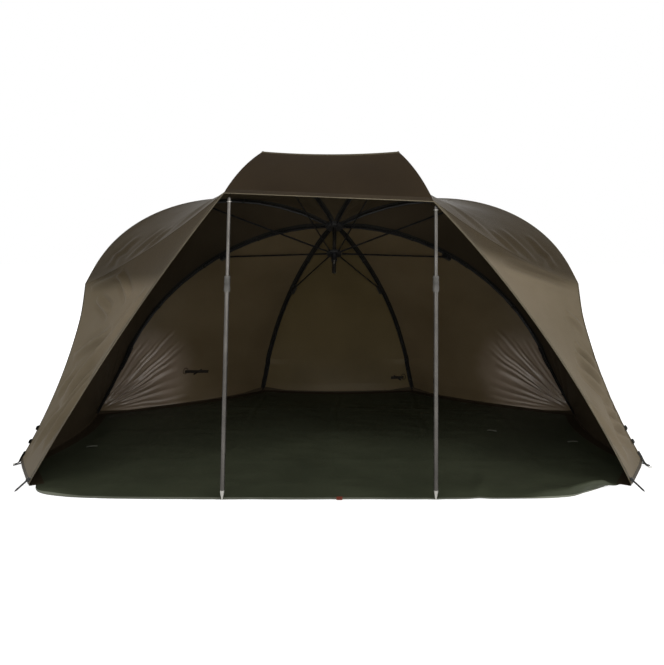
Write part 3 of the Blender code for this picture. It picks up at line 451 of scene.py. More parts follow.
def fan(grid, normals, base, folds, depth, seed, start=0.03):
    """Creases that run out from a held point: each is (end column, end row, degrees wide, depth share)."""
    away = grid - base
    distance = np.linalg.norm(away, axis=2)
    normal = normals[np.unravel_index(np.argmin(np.abs(distance - 0.2)), distance.shape)]
    first = place_on(grid, *folds[0][:2]) - base
    first -= first @ normal * normal
    first /= np.linalg.norm(first)
    second = np.cross(normal, first)
    angle = np.degrees(np.arctan2(away @ second, away @ first))
    angle = angle + FAN_WAVER * noise_at(grid, 0.13, seed)
    rise = np.zeros(distance.shape)
    for column, row, width, share in folds:
        end = place_on(grid, column, row) - base
        middle = math.degrees(math.atan2(end @ second, end @ first))
        along = distance / np.linalg.norm(end)
        swell = np.clip((distance - start) / FAN_SWELL, 0, 1) * np.clip(FAN_END - along, 0, 1) ** 0.6
        off = np.radians(np.abs((angle - middle + 180) % 360 - 180))
        across = distance * off / np.maximum(distance * math.radians(width), THINNEST_CREASE)
        hollow = 0.4 * np.exp(-((across - 1.5) ** 2) * 1.5)
        rise += share * swell * (np.exp(-(across ** 1.6)) - hollow)
    return depth * rise


def crease(grid, start, end, width, depth):
    """One fold along a line between two places given as (column, row) shares, with a hollow beside it."""
    a, b = place_on(grid, *start), place_on(grid, *end)
    line = b - a
    along = np.clip((grid - a) @ line / (line @ line), 0, 1)
    off = np.linalg.norm(grid - a - along[:, :, None] * line, axis=2) / max(width, THINNEST_FOLD)
    swell = np.clip(np.sin(math.pi * along), 0, 1) ** 0.6
    return depth * swell * (np.exp(-off * off) - 0.5 * np.exp(-((off - 1.7) ** 2)))


def soft_folds(grid, size, depth, seed):
    """Broad slack in the cloth, which fades out at the seams."""
    u, v = shares(grid)
    held = np.clip(4 * u * (1 - u), 0, 1) ** 0.6 * np.clip(v * 6, 0, 1) * np.clip((1 - v) * 8, 0, 1)
    return depth * held * noise_at(grid, size, seed)


# Puckers: where they start and die out beside a seam, and the length below the hub without any
PUCKER_START = 0.012
PUCKER_REACH = 0.055
PUCKER_FREE = 0.25


def puckers(grid, spacing, depth, seed):
    """Small ripples that run square to the seams at both sides and die out within a hand's width."""
    lengths = np.linalg.norm(np.diff(grid, axis=0), axis=2).cumsum(axis=0)
    along = np.vstack([np.zeros((1, grid.shape[1])), lengths])
    across = np.linalg.norm(np.diff(grid, axis=1), axis=2).cumsum(axis=1)
    inwards = np.hstack([np.zeros((grid.shape[0], 1)), across])
    near = np.minimum(inwards, inwards[:, -1:] - inwards)
    wave = np.sin(2 * math.pi * along / spacing + 5 * noise_at(grid, 0.22, seed))
    strength = np.clip(noise_at(grid, 0.30, seed + 9) + 0.35, 0, 1)
    rise = np.clip(near / PUCKER_START, 0, 1) * np.exp(-near / PUCKER_REACH)
    return depth * wave * strength * rise * np.clip(along / PUCKER_FREE, 0, 1)


# Folds and creases: the depth by which each gore stands out from its smooth form

# Ends of the creases out of the foot of each back side rib: column and row shares counted from that
# rib, width in degrees and depth share
FOOT_FAN = (
    (0.020, 0.615, 1.2, 0.7), (0.042, 0.56, 1.1, 0.9), (0.076, 0.52, 1.2, 0.9), (0.125, 0.56, 1.1, 0.8),
    (0.146, 0.51, 1.1, 1.0), (0.188, 0.495, 1.2, 1.1), (0.250, 0.52, 1.3, 1.2), (0.292, 0.565, 1.4, -1.0),
    (0.292, 0.615, 1.4, 0.6), (0.292, 0.70, 2.2, 1.7), (0.333, 0.775, 1.8, 0.7), (0.361, 0.845, 1.8, 0.8),
    (0.389, 0.915, 1.6, 0.6), (0.410, 0.97, 1.4, 0.4),
)
# The same for the outer side walls, where the cloth pulls from the back foot and from the front knee
SIDE_FAN = (
    (0.16, 0.62, 4.0, 0.8), (0.30, 0.66, 4.0, 1.0), (0.46, 0.74, 4.5, 0.8), (0.66, 0.85, 4.0, 0.6),
)
SIDE_KNEE_FAN = (
    (0.82, 0.70, 4.0, 0.8), (0.66, 0.72, 4.5, 1.0), (0.52, 0.64, 4.5, 0.8), (0.44, 0.56, 5.0, 0.6),
)
# Pinched cloth above the wings' seams: columns counted from the ridge, rows from the hub
ROOF_CREASES = (
    ((0.60, 0.90), (0.69, 0.99), 0.022, 1.0), ((0.68, 0.86), (0.78, 0.98), 0.024, 0.9),
    ((0.84, 0.84), (0.90, 0.96), 0.022, 1.0), ((0.92, 0.90), (0.80, 0.985), 0.023, 0.8),
    ((0.42, 0.80), (0.56, 0.96), 0.034, 0.7),
)
# Folds on the wings: columns counted from the opening's edge, rows from the seam
LEFT_CREASES = (
    ((0.40, 0.87), (0.10, 0.64), 0.013, 1.0), ((0.64, 0.80), (0.22, 0.58), 0.015, 1.0),
    ((0.90, 0.43), (0.42, 0.40), 0.011, 0.9), ((0.86, 0.12), (0.60, 0.27), 0.013, 1.0),
    ((0.70, 0.05), (0.42, 0.26), 0.012, 0.9), ((0.94, 0.05), (0.66, 0.07), 0.010, 0.9),
    ((0.70, 0.70), (0.30, 0.44), 0.026, 1.1), ((0.84, 0.90), (0.50, 0.66), 0.018, 0.8),
    ((0.30, 0.50), (0.16, 0.30), 0.020, 0.6), ((0.92, 0.62), (0.72, 0.52), 0.014, 0.6),
)
RIGHT_CREASES = (
    ((0.80, 0.20), (0.97, 0.26), 0.010, 0.7), ((0.74, 0.37), (0.97, 0.47), 0.012, 0.9),
    ((0.66, 0.44), (0.97, 0.55), 0.013, 1.0), ((0.50, 0.53), (0.90, 0.62), 0.013, 0.9),
    ((0.80, 0.62), (0.97, 0.69), 0.011, 1.0), ((0.74, 0.68), (0.96, 0.735), 0.012, 0.9),
    ((0.70, 0.745), (0.97, 0.81), 0.011, 0.9), ((0.62, 0.82), (0.94, 0.875), 0.012, 0.7),
    ((0.14, 0.70), (0.52, 0.92), 0.022, 0.7), ((0.30, 0.11), (0.96, 0.035), 0.018, -1.0),
)


# Depths of the folds and creases, and the distance from the held point at which a wall's fan starts
FOOT_FAN_DEPTH = 0.0090
SIDE_FAN_DEPTH = 0.0090
KNEE_FAN_DEPTH = 0.0060
SIDE_FAN_START = 0.05
ROOF_CREASE_DEPTH = 0.0085
WING_CREASE_DEPTH = 0.0190
# Slack and puckers of the gores and the wings: the features' size or spacing, and their depth
GORE_SLACK = ((0.55, 0.014), (0.22, 0.0040))
GORE_PUCKERS = (0.075, 0.0014)
WING_SLACK = ((0.46, 0.011), (0.20, 0.004))
WING_PUCKERS = (0.060, 0.0016)
# The row share just above the hem at which a rib's foot holds the cloth
FOOT_ROW = 0.99
# Rows and columns over which the relief grows from nothing at the edges
EDGE_STEPS = 3.0


def from_rib(folds, flipped):
    """The folds, with their columns counted from the other end of the grid when flipped."""
    return [(1 - column if flipped else column, *rest) for column, *rest in folds]


def crease_all(grid, creases, flipped, depth):
    """The rise of all creases together, each (start, end, width, depth share)."""
    rise = 0
    for start, end, width, share in creases:
        start, end = from_rib((start, end), flipped)
        rise = rise + crease(grid, start, end, width, depth * share)
    return rise


def relief(name, grid, normals):
    """How far a gore stands out from its smooth form: slack, puckers, and its own folds."""
    left = name.startswith("left")
    seed = 3 + sum(map(ord, name)) % 17
    rise = soft_folds(grid, *GORE_SLACK[0], seed) + soft_folds(grid, *GORE_SLACK[1], seed + 4)
    rise = rise + puckers(grid, *GORE_PUCKERS, seed)
    if name.endswith("back_side"):
        held = place_on(grid, 1.0 if left else 0.0, FOOT_ROW)
        rise += fan(grid, normals, held, from_rib(FOOT_FAN, left), FOOT_FAN_DEPTH, seed)
    elif name.endswith("_side"):
        knee_row = (UPPER_ROWS - 1) / (len(grid) - 1)
        for folds, column, row, depth in (
            (SIDE_FAN, 0.0 if left else 1.0, FOOT_ROW, SIDE_FAN_DEPTH),
            (SIDE_KNEE_FAN, 1.0 if left else 0.0, knee_row, KNEE_FAN_DEPTH),
        ):
            held = place_on(grid, column, row)
            rise += fan(grid, normals, held, from_rib(folds, not left), depth, seed, SIDE_FAN_START)
    elif name in ("left_roof", "right_roof"):
        rise += crease_all(grid, ROOF_CREASES, left, ROOF_CREASE_DEPTH)
    return rise


def wing_relief(name, grid, normals):
    """Slack folds that run with the opening, and short pulls from the outer seam and the knee."""
    left = name.startswith("left")
    seed = 21 if left else 5
    u, v = shares(grid)
    held = np.clip(4 * u * (1 - u), 0, 1) ** 0.7 * np.clip(4 * v * (1 - v) * 1.6, 0, 1)
    (size, depth), (small, shallow) = WING_SLACK
    rise = held * (depth * noise_at(grid, size, seed + 3) + shallow * noise_at(grid, small, seed))
    rise += puckers(grid, *WING_PUCKERS, seed)
    return rise + crease_all(grid, LEFT_CREASES if left else RIGHT_CREASES, left, WING_CREASE_DEPTH)


def held_edges(rise):
    """Edges stay where the frame holds them, so neighbours meet."""
    rows, columns = rise.shape
    u = np.minimum(np.arange(columns), np.arange(columns)[::-1])[None, :] / EDGE_STEPS
    v = np.minimum(np.arange(rows), np.arange(rows)[::-1])[:, None] / EDGE_STEPS
    return rise * np.clip(u, 0, 1) * np.clip(v, 0, 1)


def dressed(grids, rule):
    """Each grid with its folds, and its normals."""
    made = {}
    for name, grid in grids.items():
        normals = normals_of(grid)
        folded = grid + held_edges(rule(name, grid, normals))[:, :, None] * normals
        made[name] = (folded, normals_of(folded))
    return made


GORES = dressed(GORES, relief)
WINGS = dressed(WINGS, wing_relief)
# Neighbours share their normals along a seam, so that its two sides shade alike
RING = list(GORES)
for first, second in zip(RING, RING[1:] + RING[:1]):
    normals_a, normals_b = GORES[first][1], GORES[second][1]
    rows = min(len(normals_a), len(normals_b))
    mean = normals_a[:rows, -1] + normals_b[:rows, 0]
    mean /= np.linalg.norm(mean, axis=1, keepdims=True)
    normals_a[:rows, -1] = mean
    normals_b[:rows, 0] = mean


# Meshes


def add_object(name, vertices, faces, looks, face_looks=None, normals=None, uv=None):
    mesh = bpy.data.meshes.new(name)
    mesh.from_pydata([tuple(p) for p in vertices], [], faces)
    for look in looks:
        mesh.materials.append(look)
    if face_looks is not None:
        mesh.polygons.foreach_set("material_index", face_looks)
    mesh.shade_smooth()
    if uv is not None:
        layer = mesh.uv_layers.new(name="UVMap")
        loops = np.empty(len(mesh.loops), np.int32)
        mesh.loops.foreach_get("vertex_index", loops)
        layer.data.foreach_set("uv", np.array(uv, np.float32)[loops].ravel())
    if normals is not None:
        mesh.normals_split_custom_set_from_vertices([tuple(n) for n in normals])
    obj = bpy.data.objects.new(name, mesh)
    bpy.context.scene.collection.objects.link(obj)
    return obj


def boundary(rows, columns):
    """The numbers of the points along the grid's edge, as a closed loop."""
    numbers = np.arange(rows * columns).reshape(rows, columns)
    edges = (numbers[0], numbers[1:, -1], numbers[-1, -2::-1], numbers[-2:0:-1, 0])
    return [int(number) for edge in edges for number in edge]


def cloth_uv(grid, seam):
    """Metres across from the seam column, and down from the top."""
    across = np.linalg.norm(np.diff(grid, axis=1), axis=2)
    across = np.hstack([np.zeros((grid.shape[0], 1)), across.cumsum(axis=1)])
    across -= across[:, seam:seam + 1]
    down = np.linalg.norm(np.diff(grid[:, seam], axis=0), axis=1).cumsum()
    down = np.concatenate([[0], down])[:, None] + 0 * across
    return np.stack([across, down], axis=2).reshape(-1, 2)


def cloth_piece(name, grid, normals, looks, seam, thickness=CLOTH, lift=LAYER_LIFT, numbers=None):
    """Two layers of cloth and their rim: the first look is outside and the second inside.

    Where a seam parts more than two looks, numbers gives each column's outer and inner one.
    """
    rows, columns = grid.shape[:2]
    count = rows * columns
    outer, inner = grid + (lift + thickness) * normals, grid + lift * normals
    vertices = np.concatenate([outer.reshape(-1, 3), inner.reshape(-1, 3)])
    both = np.concatenate([normals.reshape(-1, 3), -normals.reshape(-1, 3)])
    i, j = rows // 2, columns // 2
    down, right = grid[i + 1, j] - grid[i, j], grid[i, j + 1] - grid[i, j]
    flipped = np.cross(down, right) @ normals[i, j] < 0
    faces, marks = [], []
    for i in range(rows - 1):
        for j in range(columns - 1):
            a, b = i * columns + j, i * columns + j + 1
            quad = (a, a + columns, b + columns, b)
            top = quad[::-1] if flipped else quad
            faces.append(top)
            # It starts at the same corner, so that both layers are split along the same diagonal
            faces.append(tuple(top[k] + count for k in (0, 3, 2, 1)))
            marks += (0, 1) if numbers is None else numbers[j]
    loop = boundary(rows, columns)
    for a, b in zip(loop, loop[1:] + loop[:1]):
        quad = (a, b, b + count, a + count)
        faces.append(quad[::-1] if flipped else quad)
        marks.append(0)
    uv = np.concatenate([cloth_uv(grid, seam)] * 2)
    return add_object(name, vertices, faces, looks, marks, both, uv)


def joined(*blocks):
    """Neighbouring grids side by side, each (grid, normals, first column, column after the last)."""
    grids = [g[:, a:b] for g, _, a, b in blocks]
    normals = [n[:, a:b] for _, n, a, b in blocks]
    return np.concatenate(grids, axis=1), np.concatenate(normals, axis=1)


# A sheet's area is at least this share of its flat width times its length
LEAST_AREA_SHARE = 0.3001


def declare(held, grid):
    """Works out the piece's flat size, along the surface when stretched and its extents when laid, and its
    area, but keeps none of them.
    """
    if held == "laid":
        width, length = np.ptp(grid[:, :, 0]), np.ptp(grid[:, :, 1])
    else:
        width = np.linalg.norm(np.diff(grid, axis=1), axis=2).sum(axis=1).max()
        length = np.linalg.norm(np.diff(grid, axis=0), axis=2).sum(axis=0).max()
    a, b = np.diff(grid, axis=1)[:-1], np.diff(grid, axis=0)[:, :-1]
    area = float(np.linalg.norm(np.cross(a, b), axis=2).sum())
    area = min(max(area, LEAST_AREA_SHARE * width * length), width * length)


def folds_to(piece, body):
    """The piece rides on a rib, with its own copy of its mesh."""
    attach(piece, body)
    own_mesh(piece)


# Materials: each is procedural, in metres, with its own colour variation, roughness and bump

BLACK = (0, 0, 0)
WHITE = (255, 255, 255)


def srgb(colour):
    """A colour of three numbers up to 255, as a shader takes it."""
    def linear(c):
        c /= 255
        return c / 12.92 if c <= 0.04045 else ((c + 0.055) / 1.055) ** 2.4

    return (*map(linear, colour), 1.0)


class Nodes:
    """Short ways to add and join the nodes of a tree. Values are sockets or plain numbers."""

    def __init__(self, tree):
        self.tree = tree

    def join(self, out, into):
        self.tree.links.new(out, into)

    def give(self, value, socket):
        if isinstance(value, bpy.types.NodeSocket):
            self.join(value, socket)
        else:
            socket.default_value = value

    def node(self, kind, **settings):
        made = self.tree.nodes.new(kind)
        for key, value in settings.items():
            if hasattr(made, key):
                setattr(made, key, value)
            else:
                self.give(value, made.inputs[key.replace("_", " ")])
        return made

    def place(self, uv=False):
        return self.node("ShaderNodeTexCoord").outputs["UV" if uv else "Object"]

    def noise(self, scale, detail=3.0, stretch=None):
        place = self.place()
        if stretch:
            place = self.node("ShaderNodeMapping", Vector=place, Scale=stretch).outputs["Vector"]
        return self.node("ShaderNodeTexNoise", Scale=scale, Detail=detail, Vector=place).outputs["Fac"]

    def ramp(self, value, low, high, at=(0.35, 0.65)):
        made = self.node("ShaderNodeValToRGB", Fac=value)
        for element, position, colour in zip(made.color_ramp.elements, at, (low, high)):
            element.position, element.color = position, srgb(colour)
        return made.outputs["Color"]

    def math(self, operation, a, b=0.0):
        made = self.node("ShaderNodeMath", operation=operation)
        self.give(a, made.inputs[0])
        self.give(b, made.inputs[1])
        return made.outputs["Value"]

    def vector(self, operation, a, b=None):
        made = self.node("ShaderNodeVectorMath", operation=operation)
        self.give(a, made.inputs[0])
        if b is not None:
            self.give(b, made.inputs[1])
        return made.outputs["Value"]

    def spread(self, value, low, high):
        return self.node("ShaderNodeMapRange", Value=value, To_Min=low, To_Max=high).outputs["Result"]

    def smooth(self, value, start, end, low=0.0, high=1.0):
        made = self.node("ShaderNodeMapRange", interpolation_type="SMOOTHSTEP", Value=value,
                         From_Min=start, From_Max=end, To_Min=low, To_Max=high)
        return made.outputs["Result"]

    def mix(self, share, a, b):
        made = self.node("ShaderNodeMix", data_type="RGBA", Factor=share)
        sockets = {s.name: s for s in made.inputs if s.type == "RGBA"}
        self.give(a, sockets["A"])
        self.give(b, sockets["B"])
        return [s for s in made.outputs if s.type == "RGBA"][0]

    def seen_directly(self):
        """1 for rays from the camera, also by way of a mirror or glass, and 0 for light that scatters."""
        path = self.node("ShaderNodeLightPath")
        seen = path.outputs["Is Camera Ray"]
        for ray in ("Is Glossy Ray", "Is Transmission Ray"):
            seen = self.math("MAXIMUM", seen, path.outputs[ray])
        return seen


class Look(Nodes):
    """A material with a Principled shader."""

    def __init__(self, name, roughness, metallic=0.0, sheen=0.0, specular=0.5):
        self.material = bpy.data.materials.new(name)
        self.material.use_nodes = True
        super().__init__(self.material.node_tree)
        self.shader = self.tree.nodes["Principled BSDF"]
        inputs = self.shader.inputs
        inputs["Roughness"].default_value = roughness
        inputs["Metallic"].default_value = metallic
        inputs["Sheen Weight"].default_value = sheen
        inputs["Specular IOR Level"].default_value = specular

    def weave(self, pitch):
        """Over-and-under threads, from two sets of bands across the cloth's own metres."""
        split = self.node("ShaderNodeSeparateXYZ", Vector=self.place(uv=True))
        turn = math.tau / pitch
        across = self.math("SINE", self.math("MULTIPLY", split.outputs["X"], turn))
        along = self.math("SINE", self.math("MULTIPLY", split.outputs["Y"], turn))
        return self.math("MULTIPLY", across, along)

    def bump(self, height, strength, distance, before=None):
        made = self.node("ShaderNodeBump", Strength=strength, Distance=distance, Height=height)
        if before is not None:
            self.join(before, made.inputs["Normal"])
        self.join(made.outputs["Normal"], self.shader.inputs["Normal"])
        return made.outputs["Normal"]

    def colour(self, value):
        self.join(value, self.shader.inputs["Base Color"])

    def rough(self, value):
        self.join(value, self.shader.inputs["Roughness"])


# The threads' pitch
CLOTH_THREADS = 0.0012


def cloth_look(name, low, high, roughness, sheen=0.0, pitch=CLOTH_THREADS, weave=0.22, crinkle=0.22,
               specular=0.35, above=None, around=None):
    """Coated polyester: threads, slow changes of shade and faint creasing.

    above gives a second pair of colours beyond a plane, used for painted shade: (direction, distance,
    softness, low, high).
    around gives one near a point, a painted highlight that stands in for a lamp's sheen on creased lining:
    (place, inner radius, outer radius, low, high).
    """
    look = Look(name, roughness, sheen=sheen, specular=specular)
    patches = look.noise(2.2, 4.0)
    shade = look.ramp(patches, low, high)
    if above:
        direction, distance, soft, *pair = above
        height = look.vector("DOT_PRODUCT", look.place(), direction)
        share = look.smooth(height, distance - soft, distance + soft)
        shade = look.mix(share, shade, look.ramp(patches, *pair))
    # Painted highlight near a point
    if around:
        middle, near, far, *pair = around
        away = look.vector("DISTANCE", look.place(), middle)
        uneven = look.math("ADD", away, look.spread(look.noise(7.0, 4.0), -0.06, 0.06))
        shade = look.mix(look.smooth(uneven, far, near), shade, look.ramp(patches, *pair))
    threads = look.weave(pitch)
    lighter = (*(min(1.0, c * 1.16) for c in srgb(high)[:3]), 1.0)
    look.colour(look.mix(look.spread(threads, 0.0, 0.22), shade, lighter))
    look.rough(look.spread(look.noise(9.0), roughness - 0.07, roughness + 0.08))
    normal = look.bump(look.noise(34, 4.0, stretch=(1.0, 1.0, 0.45)), crinkle, 0.0022)
    normal = look.bump(look.noise(160), 0.10, 0.0004, normal)
    look.bump(threads, weave, 0.00012, normal)
    return look.material


# Woven tape, in metres: its ribs, the stitches' distance from the middle, half their width and their pitch
TAPE_RIBS = 0.0016
STITCH_PLACE = 0.0046
STITCH_HALF_WIDTH = 0.0005
STITCH_PITCH = 0.0042


def tape_look(name, low, high, roughness, stitch):
    """Woven binding tape: ribs across it, and a line of stitches along each edge."""
    look = Look(name, roughness, specular=0.1)
    split = look.node("ShaderNodeSeparateXYZ", Vector=look.place(uv=True))
    across, along = split.outputs["X"], split.outputs["Y"]
    ribs = look.math("SINE", look.math("MULTIPLY", along, math.tau / TAPE_RIBS))
    away = look.math("SUBTRACT", look.math("ABSOLUTE", across), STITCH_PLACE)
    line = look.math("LESS_THAN", look.math("ABSOLUTE", away), STITCH_HALF_WIDTH)
    dashes = look.math("GREATER_THAN", look.math("FRACT", look.math("DIVIDE", along, STITCH_PITCH)), 0.3)
    thread = look.math("MULTIPLY", line, dashes)
    look.colour(look.mix(thread, look.ramp(look.noise(5.0), low, high), srgb(stitch)))
    look.rough(look.spread(look.noise(60, 2.0), roughness - 0.06, roughness + 0.06))
    look.bump(thread, 0.6, 0.0006, look.bump(ribs, 0.25, 0.0002))
    return look.material


def moulding_look(name, low, high, rubbed):
    """Nylon: fine grain, a little paler where it has been rubbed."""
    look = Look(name, 0.5, specular=0.3)
    edges = look.node("ShaderNodeNewGeometry").outputs["Pointiness"]
    worn = look.ramp(edges, BLACK, WHITE, (0.52, 0.60))
    scuffs = look.math("MULTIPLY", worn, look.noise(45, 4.0))
    look.colour(look.mix(scuffs, look.ramp(look.noise(14), low, high), srgb(rubbed)))
    look.rough(look.spread(look.noise(70, 4.0), 0.38, 0.62))
    look.bump(look.noise(420, 2.0), 0.22, 0.0004)
    return look.material


def rib_look():
    """Black-painted rod: long faint drawing lines and small scratches."""
    look = Look("rib_black_rod", 0.46, specular=0.25)
    streaks = look.noise(30, 4.0, stretch=(1.0, 1.0, 0.08))
    base = look.ramp(streaks, (14, 14, 14), (27, 26, 25))
    scratches = look.ramp(look.noise(140, 5.0), BLACK, WHITE, (0.64, 0.70))
    look.colour(look.mix(look.math("MULTIPLY", scratches, 0.4), base, srgb((70, 69, 66))))
    look.rough(look.spread(streaks, 0.40, 0.58))
    look.bump(look.noise(260), 0.12, 0.0004)
    return look.material


def metal_look(name, low, high, roughness):
    """Drawn metal tube: fine streaks along it and cloudy anodising."""
    look = Look(name, roughness, metallic=1.0)
    look.shader.inputs["Anisotropic"].default_value = 0.4
    streaks = look.noise(180, stretch=(1.0, 1.0, 0.02))
    clouds = look.noise(11)
    look.colour(look.ramp(look.math("MULTIPLY", look.math("ADD", streaks, clouds), 0.5), low, high))
    look.rough(look.spread(streaks, roughness - 0.09, roughness + 0.10))
    look.bump(streaks, 0.18, 0.0003)
    return look.material


# Pairs of colours between which a cloth's shade varies
OUTER_PAIR = ((98, 88, 70), (113, 102, 84))
# Painted shade: a darker copy of the outer cloth for the up-facing roofs and upper wings
ROOF_SHADE_PAIR = ((47, 39, 25), (57, 48, 33))
# Painted shade: the visor's up-facing cloth, and its binding, made darker than the outer cloth
VISOR_SHADE_PAIR = ((41, 33, 23), (50, 41, 29))
LINING_PAIR = ((87, 74, 52), (101, 87, 64))
# Painted highlight: a paler lining colour in place of a lamp's sheen on the creases
PAINTED_SHEEN_PAIR = ((120, 105, 89), (138, 122, 105))
OUTER_CLOTH = dict(roughness=0.64, sheen=0.02, weave=0.30, specular=0.08)
# Where the painted highlight is centred, over the lining creased out of the foot of each back side rib:
# column shares from that rib, rows
PAINTED_SHEEN_PLACE = (0.17, 0.74)
PAINTED_SHEEN_RADII = (0.15, 0.34)
# Where the painted shade (the darker cloth) over the wings ends: row shares along the opening's edge, how
# far above the knee, and half the width of the change
SHADE_EDGE = {"left": 0.33, "right": 0.19}
SHADE_EDGE_LIFT = 0.004
SHADE_EDGE_SOFTNESS = 0.050


def wing_look(word):
    """The wing's outer cloth, with painted shade: it darkens above a line from the knee to the edge of the
    opening.
    """
    side = SIDES[word]
    steps = 100
    low_end = opening_edge(side, steps)[round(steps * SHADE_EDGE[word])]
    high_end = LINES[word, "front_side"][1][0]
    normals = WINGS[f"{word}_wing"][1]
    facing = Vector(normals[len(normals) // 3, normals.shape[1] // 2])
    direction = (high_end - low_end).cross(facing).normalized()
    if direction.z < 0:
        direction = -direction
    # Painted shade beyond the plane through the knee and that point on the opening's edge
    above = (tuple(direction), direction.dot(high_end) + SHADE_EDGE_LIFT, SHADE_EDGE_SOFTNESS, *ROOF_SHADE_PAIR)
    return cloth_look(f"canopy_wing_{word}", *OUTER_PAIR, above=above, **OUTER_CLOTH)


def lining_look(word):
    """The lining beside a back side rib, with a painted highlight over its foot that stands in for a
    lamp's sheen on the creases.
    """
    grid = GORES[f"{word}_back_side"][0]
    column, row = PAINTED_SHEEN_PLACE
    middle = place_on(grid, 1 - column if word == "left" else column, row)
    around = (tuple(middle), *PAINTED_SHEEN_RADII, *PAINTED_SHEEN_PAIR)
    return cloth_look(f"lining_{word}", *LINING_PAIR, 0.34, specular=0.5, around=around)


LOOKS = {
    "outer": cloth_look("canopy_outer", *OUTER_PAIR, **OUTER_CLOTH),
    "wing_left": wing_look("left"),
    "wing_right": wing_look("right"),
    "visor": cloth_look("visor_outer", *VISOR_SHADE_PAIR, 0.66, weave=0.30, specular=0.05),
    "inner_left": lining_look("left"),
    "inner_right": lining_look("right"),
    "inner_matt": cloth_look("wall_lining", (82, 70, 45), (94, 81, 54), 0.55, specular=0.2),
    # Painted shade: darker copies of the lining for the side walls, wings and skirts inside, and for the
    # roofs and visor
    "inner_side": cloth_look("side_lining", (53, 45, 33), (62, 53, 40), 0.60, specular=0.1),
    "shaded_ceiling": cloth_look("roof_lining", (52, 44, 31), (62, 53, 38), 0.60, specular=0.12),
    "ground": cloth_look("groundsheet_top", (53, 57, 43), (66, 70, 54), 0.60, pitch=0.0020, weave=0.35,
                         crinkle=0.35, specular=0.15),
    "ground_edge": cloth_look("groundsheet_edge", (104, 108, 92), (124, 127, 110), 0.55, 0.1, 0.0020, 0.3,
                              0.2),
    "tape": tape_look("seam_tape", (74, 66, 50), (88, 79, 61), 0.58, (46, 41, 31)),
    "binding": tape_look("edge_binding", (50, 43, 32), (62, 54, 41), 0.56, (84, 76, 60)),
    "visor_tape": tape_look("visor_binding", *VISOR_SHADE_PAIR, 0.62, (66, 58, 44)),
    "piping": tape_look("light_piping", (96, 88, 72), (110, 102, 84), 0.55, (76, 69, 55)),
    "tie": tape_look("brown_tie", (33, 29, 24), (45, 40, 34), 0.60, (58, 52, 44)),
    "webbing": tape_look("black_webbing", (26, 26, 24), (38, 37, 34), 0.62, (70, 68, 62)),
    "tab": tape_look("red_brown_tab", (120, 58, 44), (140, 70, 54), 0.6, (84, 40, 32)),
    "moulding": moulding_look("black_nylon", (16, 16, 16), (25, 25, 24), (54, 53, 51)),
    "collar": moulding_look("grey_nylon", (60, 58, 55), (74, 72, 68), (104, 102, 97)),
    "rib": rib_look(),
    "tube": metal_look("gunmetal_tube_finish", (67, 65, 62), (92, 89, 85), 0.40),
    "steel": metal_look("pale_steel", (150, 148, 142), (184, 182, 176), 0.32),
}

# The solids that stay visible take these looks, by the start of their slot's name
SLOT_LOOKS = {
    "black_moulding": "moulding",
    "rib_black": "rib",
    "gunmetal_tube": "tube",
    "pale_metal": "steel",
    "canopy_cloth": "outer",
    "groundsheet_cloth": "ground",
}
for name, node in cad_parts.items():
    for place in node.material_slots:
        wanted = [look for slot, look in SLOT_LOOKS.items() if place.material.name.startswith(slot)]
        if wanted:
            place.material = LOOKS["collar" if name.endswith("_collar") else wanted[0]]


# Tapes and tubes


def strip_between(grid, normals, offsets, seam):
    """Points beside a seam column at set distances across, and the normals there."""
    rows = grid.shape[0]
    points = np.zeros((rows, len(offsets), 3))
    facing = np.zeros_like(points)
    for i in range(rows):
        for k, offset in enumerate(offsets):
            step = 1 if offset > 0 else -1
            j, left = seam, abs(offset)
            place = grid[i, seam]
            normal = normals[i, seam]
            while left > 0 and 0 <= j + step < grid.shape[1]:
                length = np.linalg.norm(grid[i, j + step] - grid[i, j])
                share = min(1.0, left / max(length, 1e-9))
                place = grid[i, j] + share * (grid[i, j + step] - grid[i, j])
                normal = normals[i, j] + share * (normals[i, j + step] - normals[i, j])
                left -= length
                j += step
            points[i, k], facing[i, k] = place, normal / np.linalg.norm(normal)
    return points, facing


# Tapes: their places across and their rise there, their thickness, and their lift above the cloth
TAPE_ACROSS = (-SEAM_HALF_WIDTH, -0.8 * SEAM_HALF_WIDTH, 0.0, 0.8 * SEAM_HALF_WIDTH, SEAM_HALF_WIDTH)
TAPE_RISE = (0.0, SEAM_RISE, 1.3 * SEAM_RISE, SEAM_RISE, 0.0)
TAPE_THICKNESS = 0.0007
TAPE_LIFT = 0.0003
HEM_TAPE_WIDTH = 0.018
HEM_TAPE_ACROSS = (0.0, 0.15, 0.5, 0.85, 1.0)
HEM_TAPE_RISE = (0.0, 0.0008, 0.0010, 0.0008, 0.0)
HEM_TAPE_THICKNESS = 0.0006
HEM_TAPE_LIFT = 0.0002


def tape_over(name, grid, normals, seam, look):
    """A felled seam or tape that lies proud of the cloth along one column."""
    points, facing = strip_between(grid, normals, TAPE_ACROSS, seam)
    facing[:] = facing[:, 2:3]
    raised = points + np.array(TAPE_RISE)[None, :, None] * facing
    return cloth_piece(name, raised, facing, [look, look], 2, TAPE_THICKNESS, CLOTH + TAPE_LIFT)


def edge_tape(name, grid, normals, look, width=HEM_TAPE_WIDTH):
    """A tape along the last row, sewn on the outside."""
    turned, facing = grid[::-1].transpose(1, 0, 2), normals[::-1].transpose(1, 0, 2)
    offsets = tuple(share * width for share in HEM_TAPE_ACROSS)
    points, across = strip_between(turned, facing, offsets, 0)
    raised = points + np.array(HEM_TAPE_RISE)[None, :, None] * across
    return cloth_piece(name, raised, across, [look, look], 2, HEM_TAPE_THICKNESS, CLOTH + HEM_TAPE_LIFT)


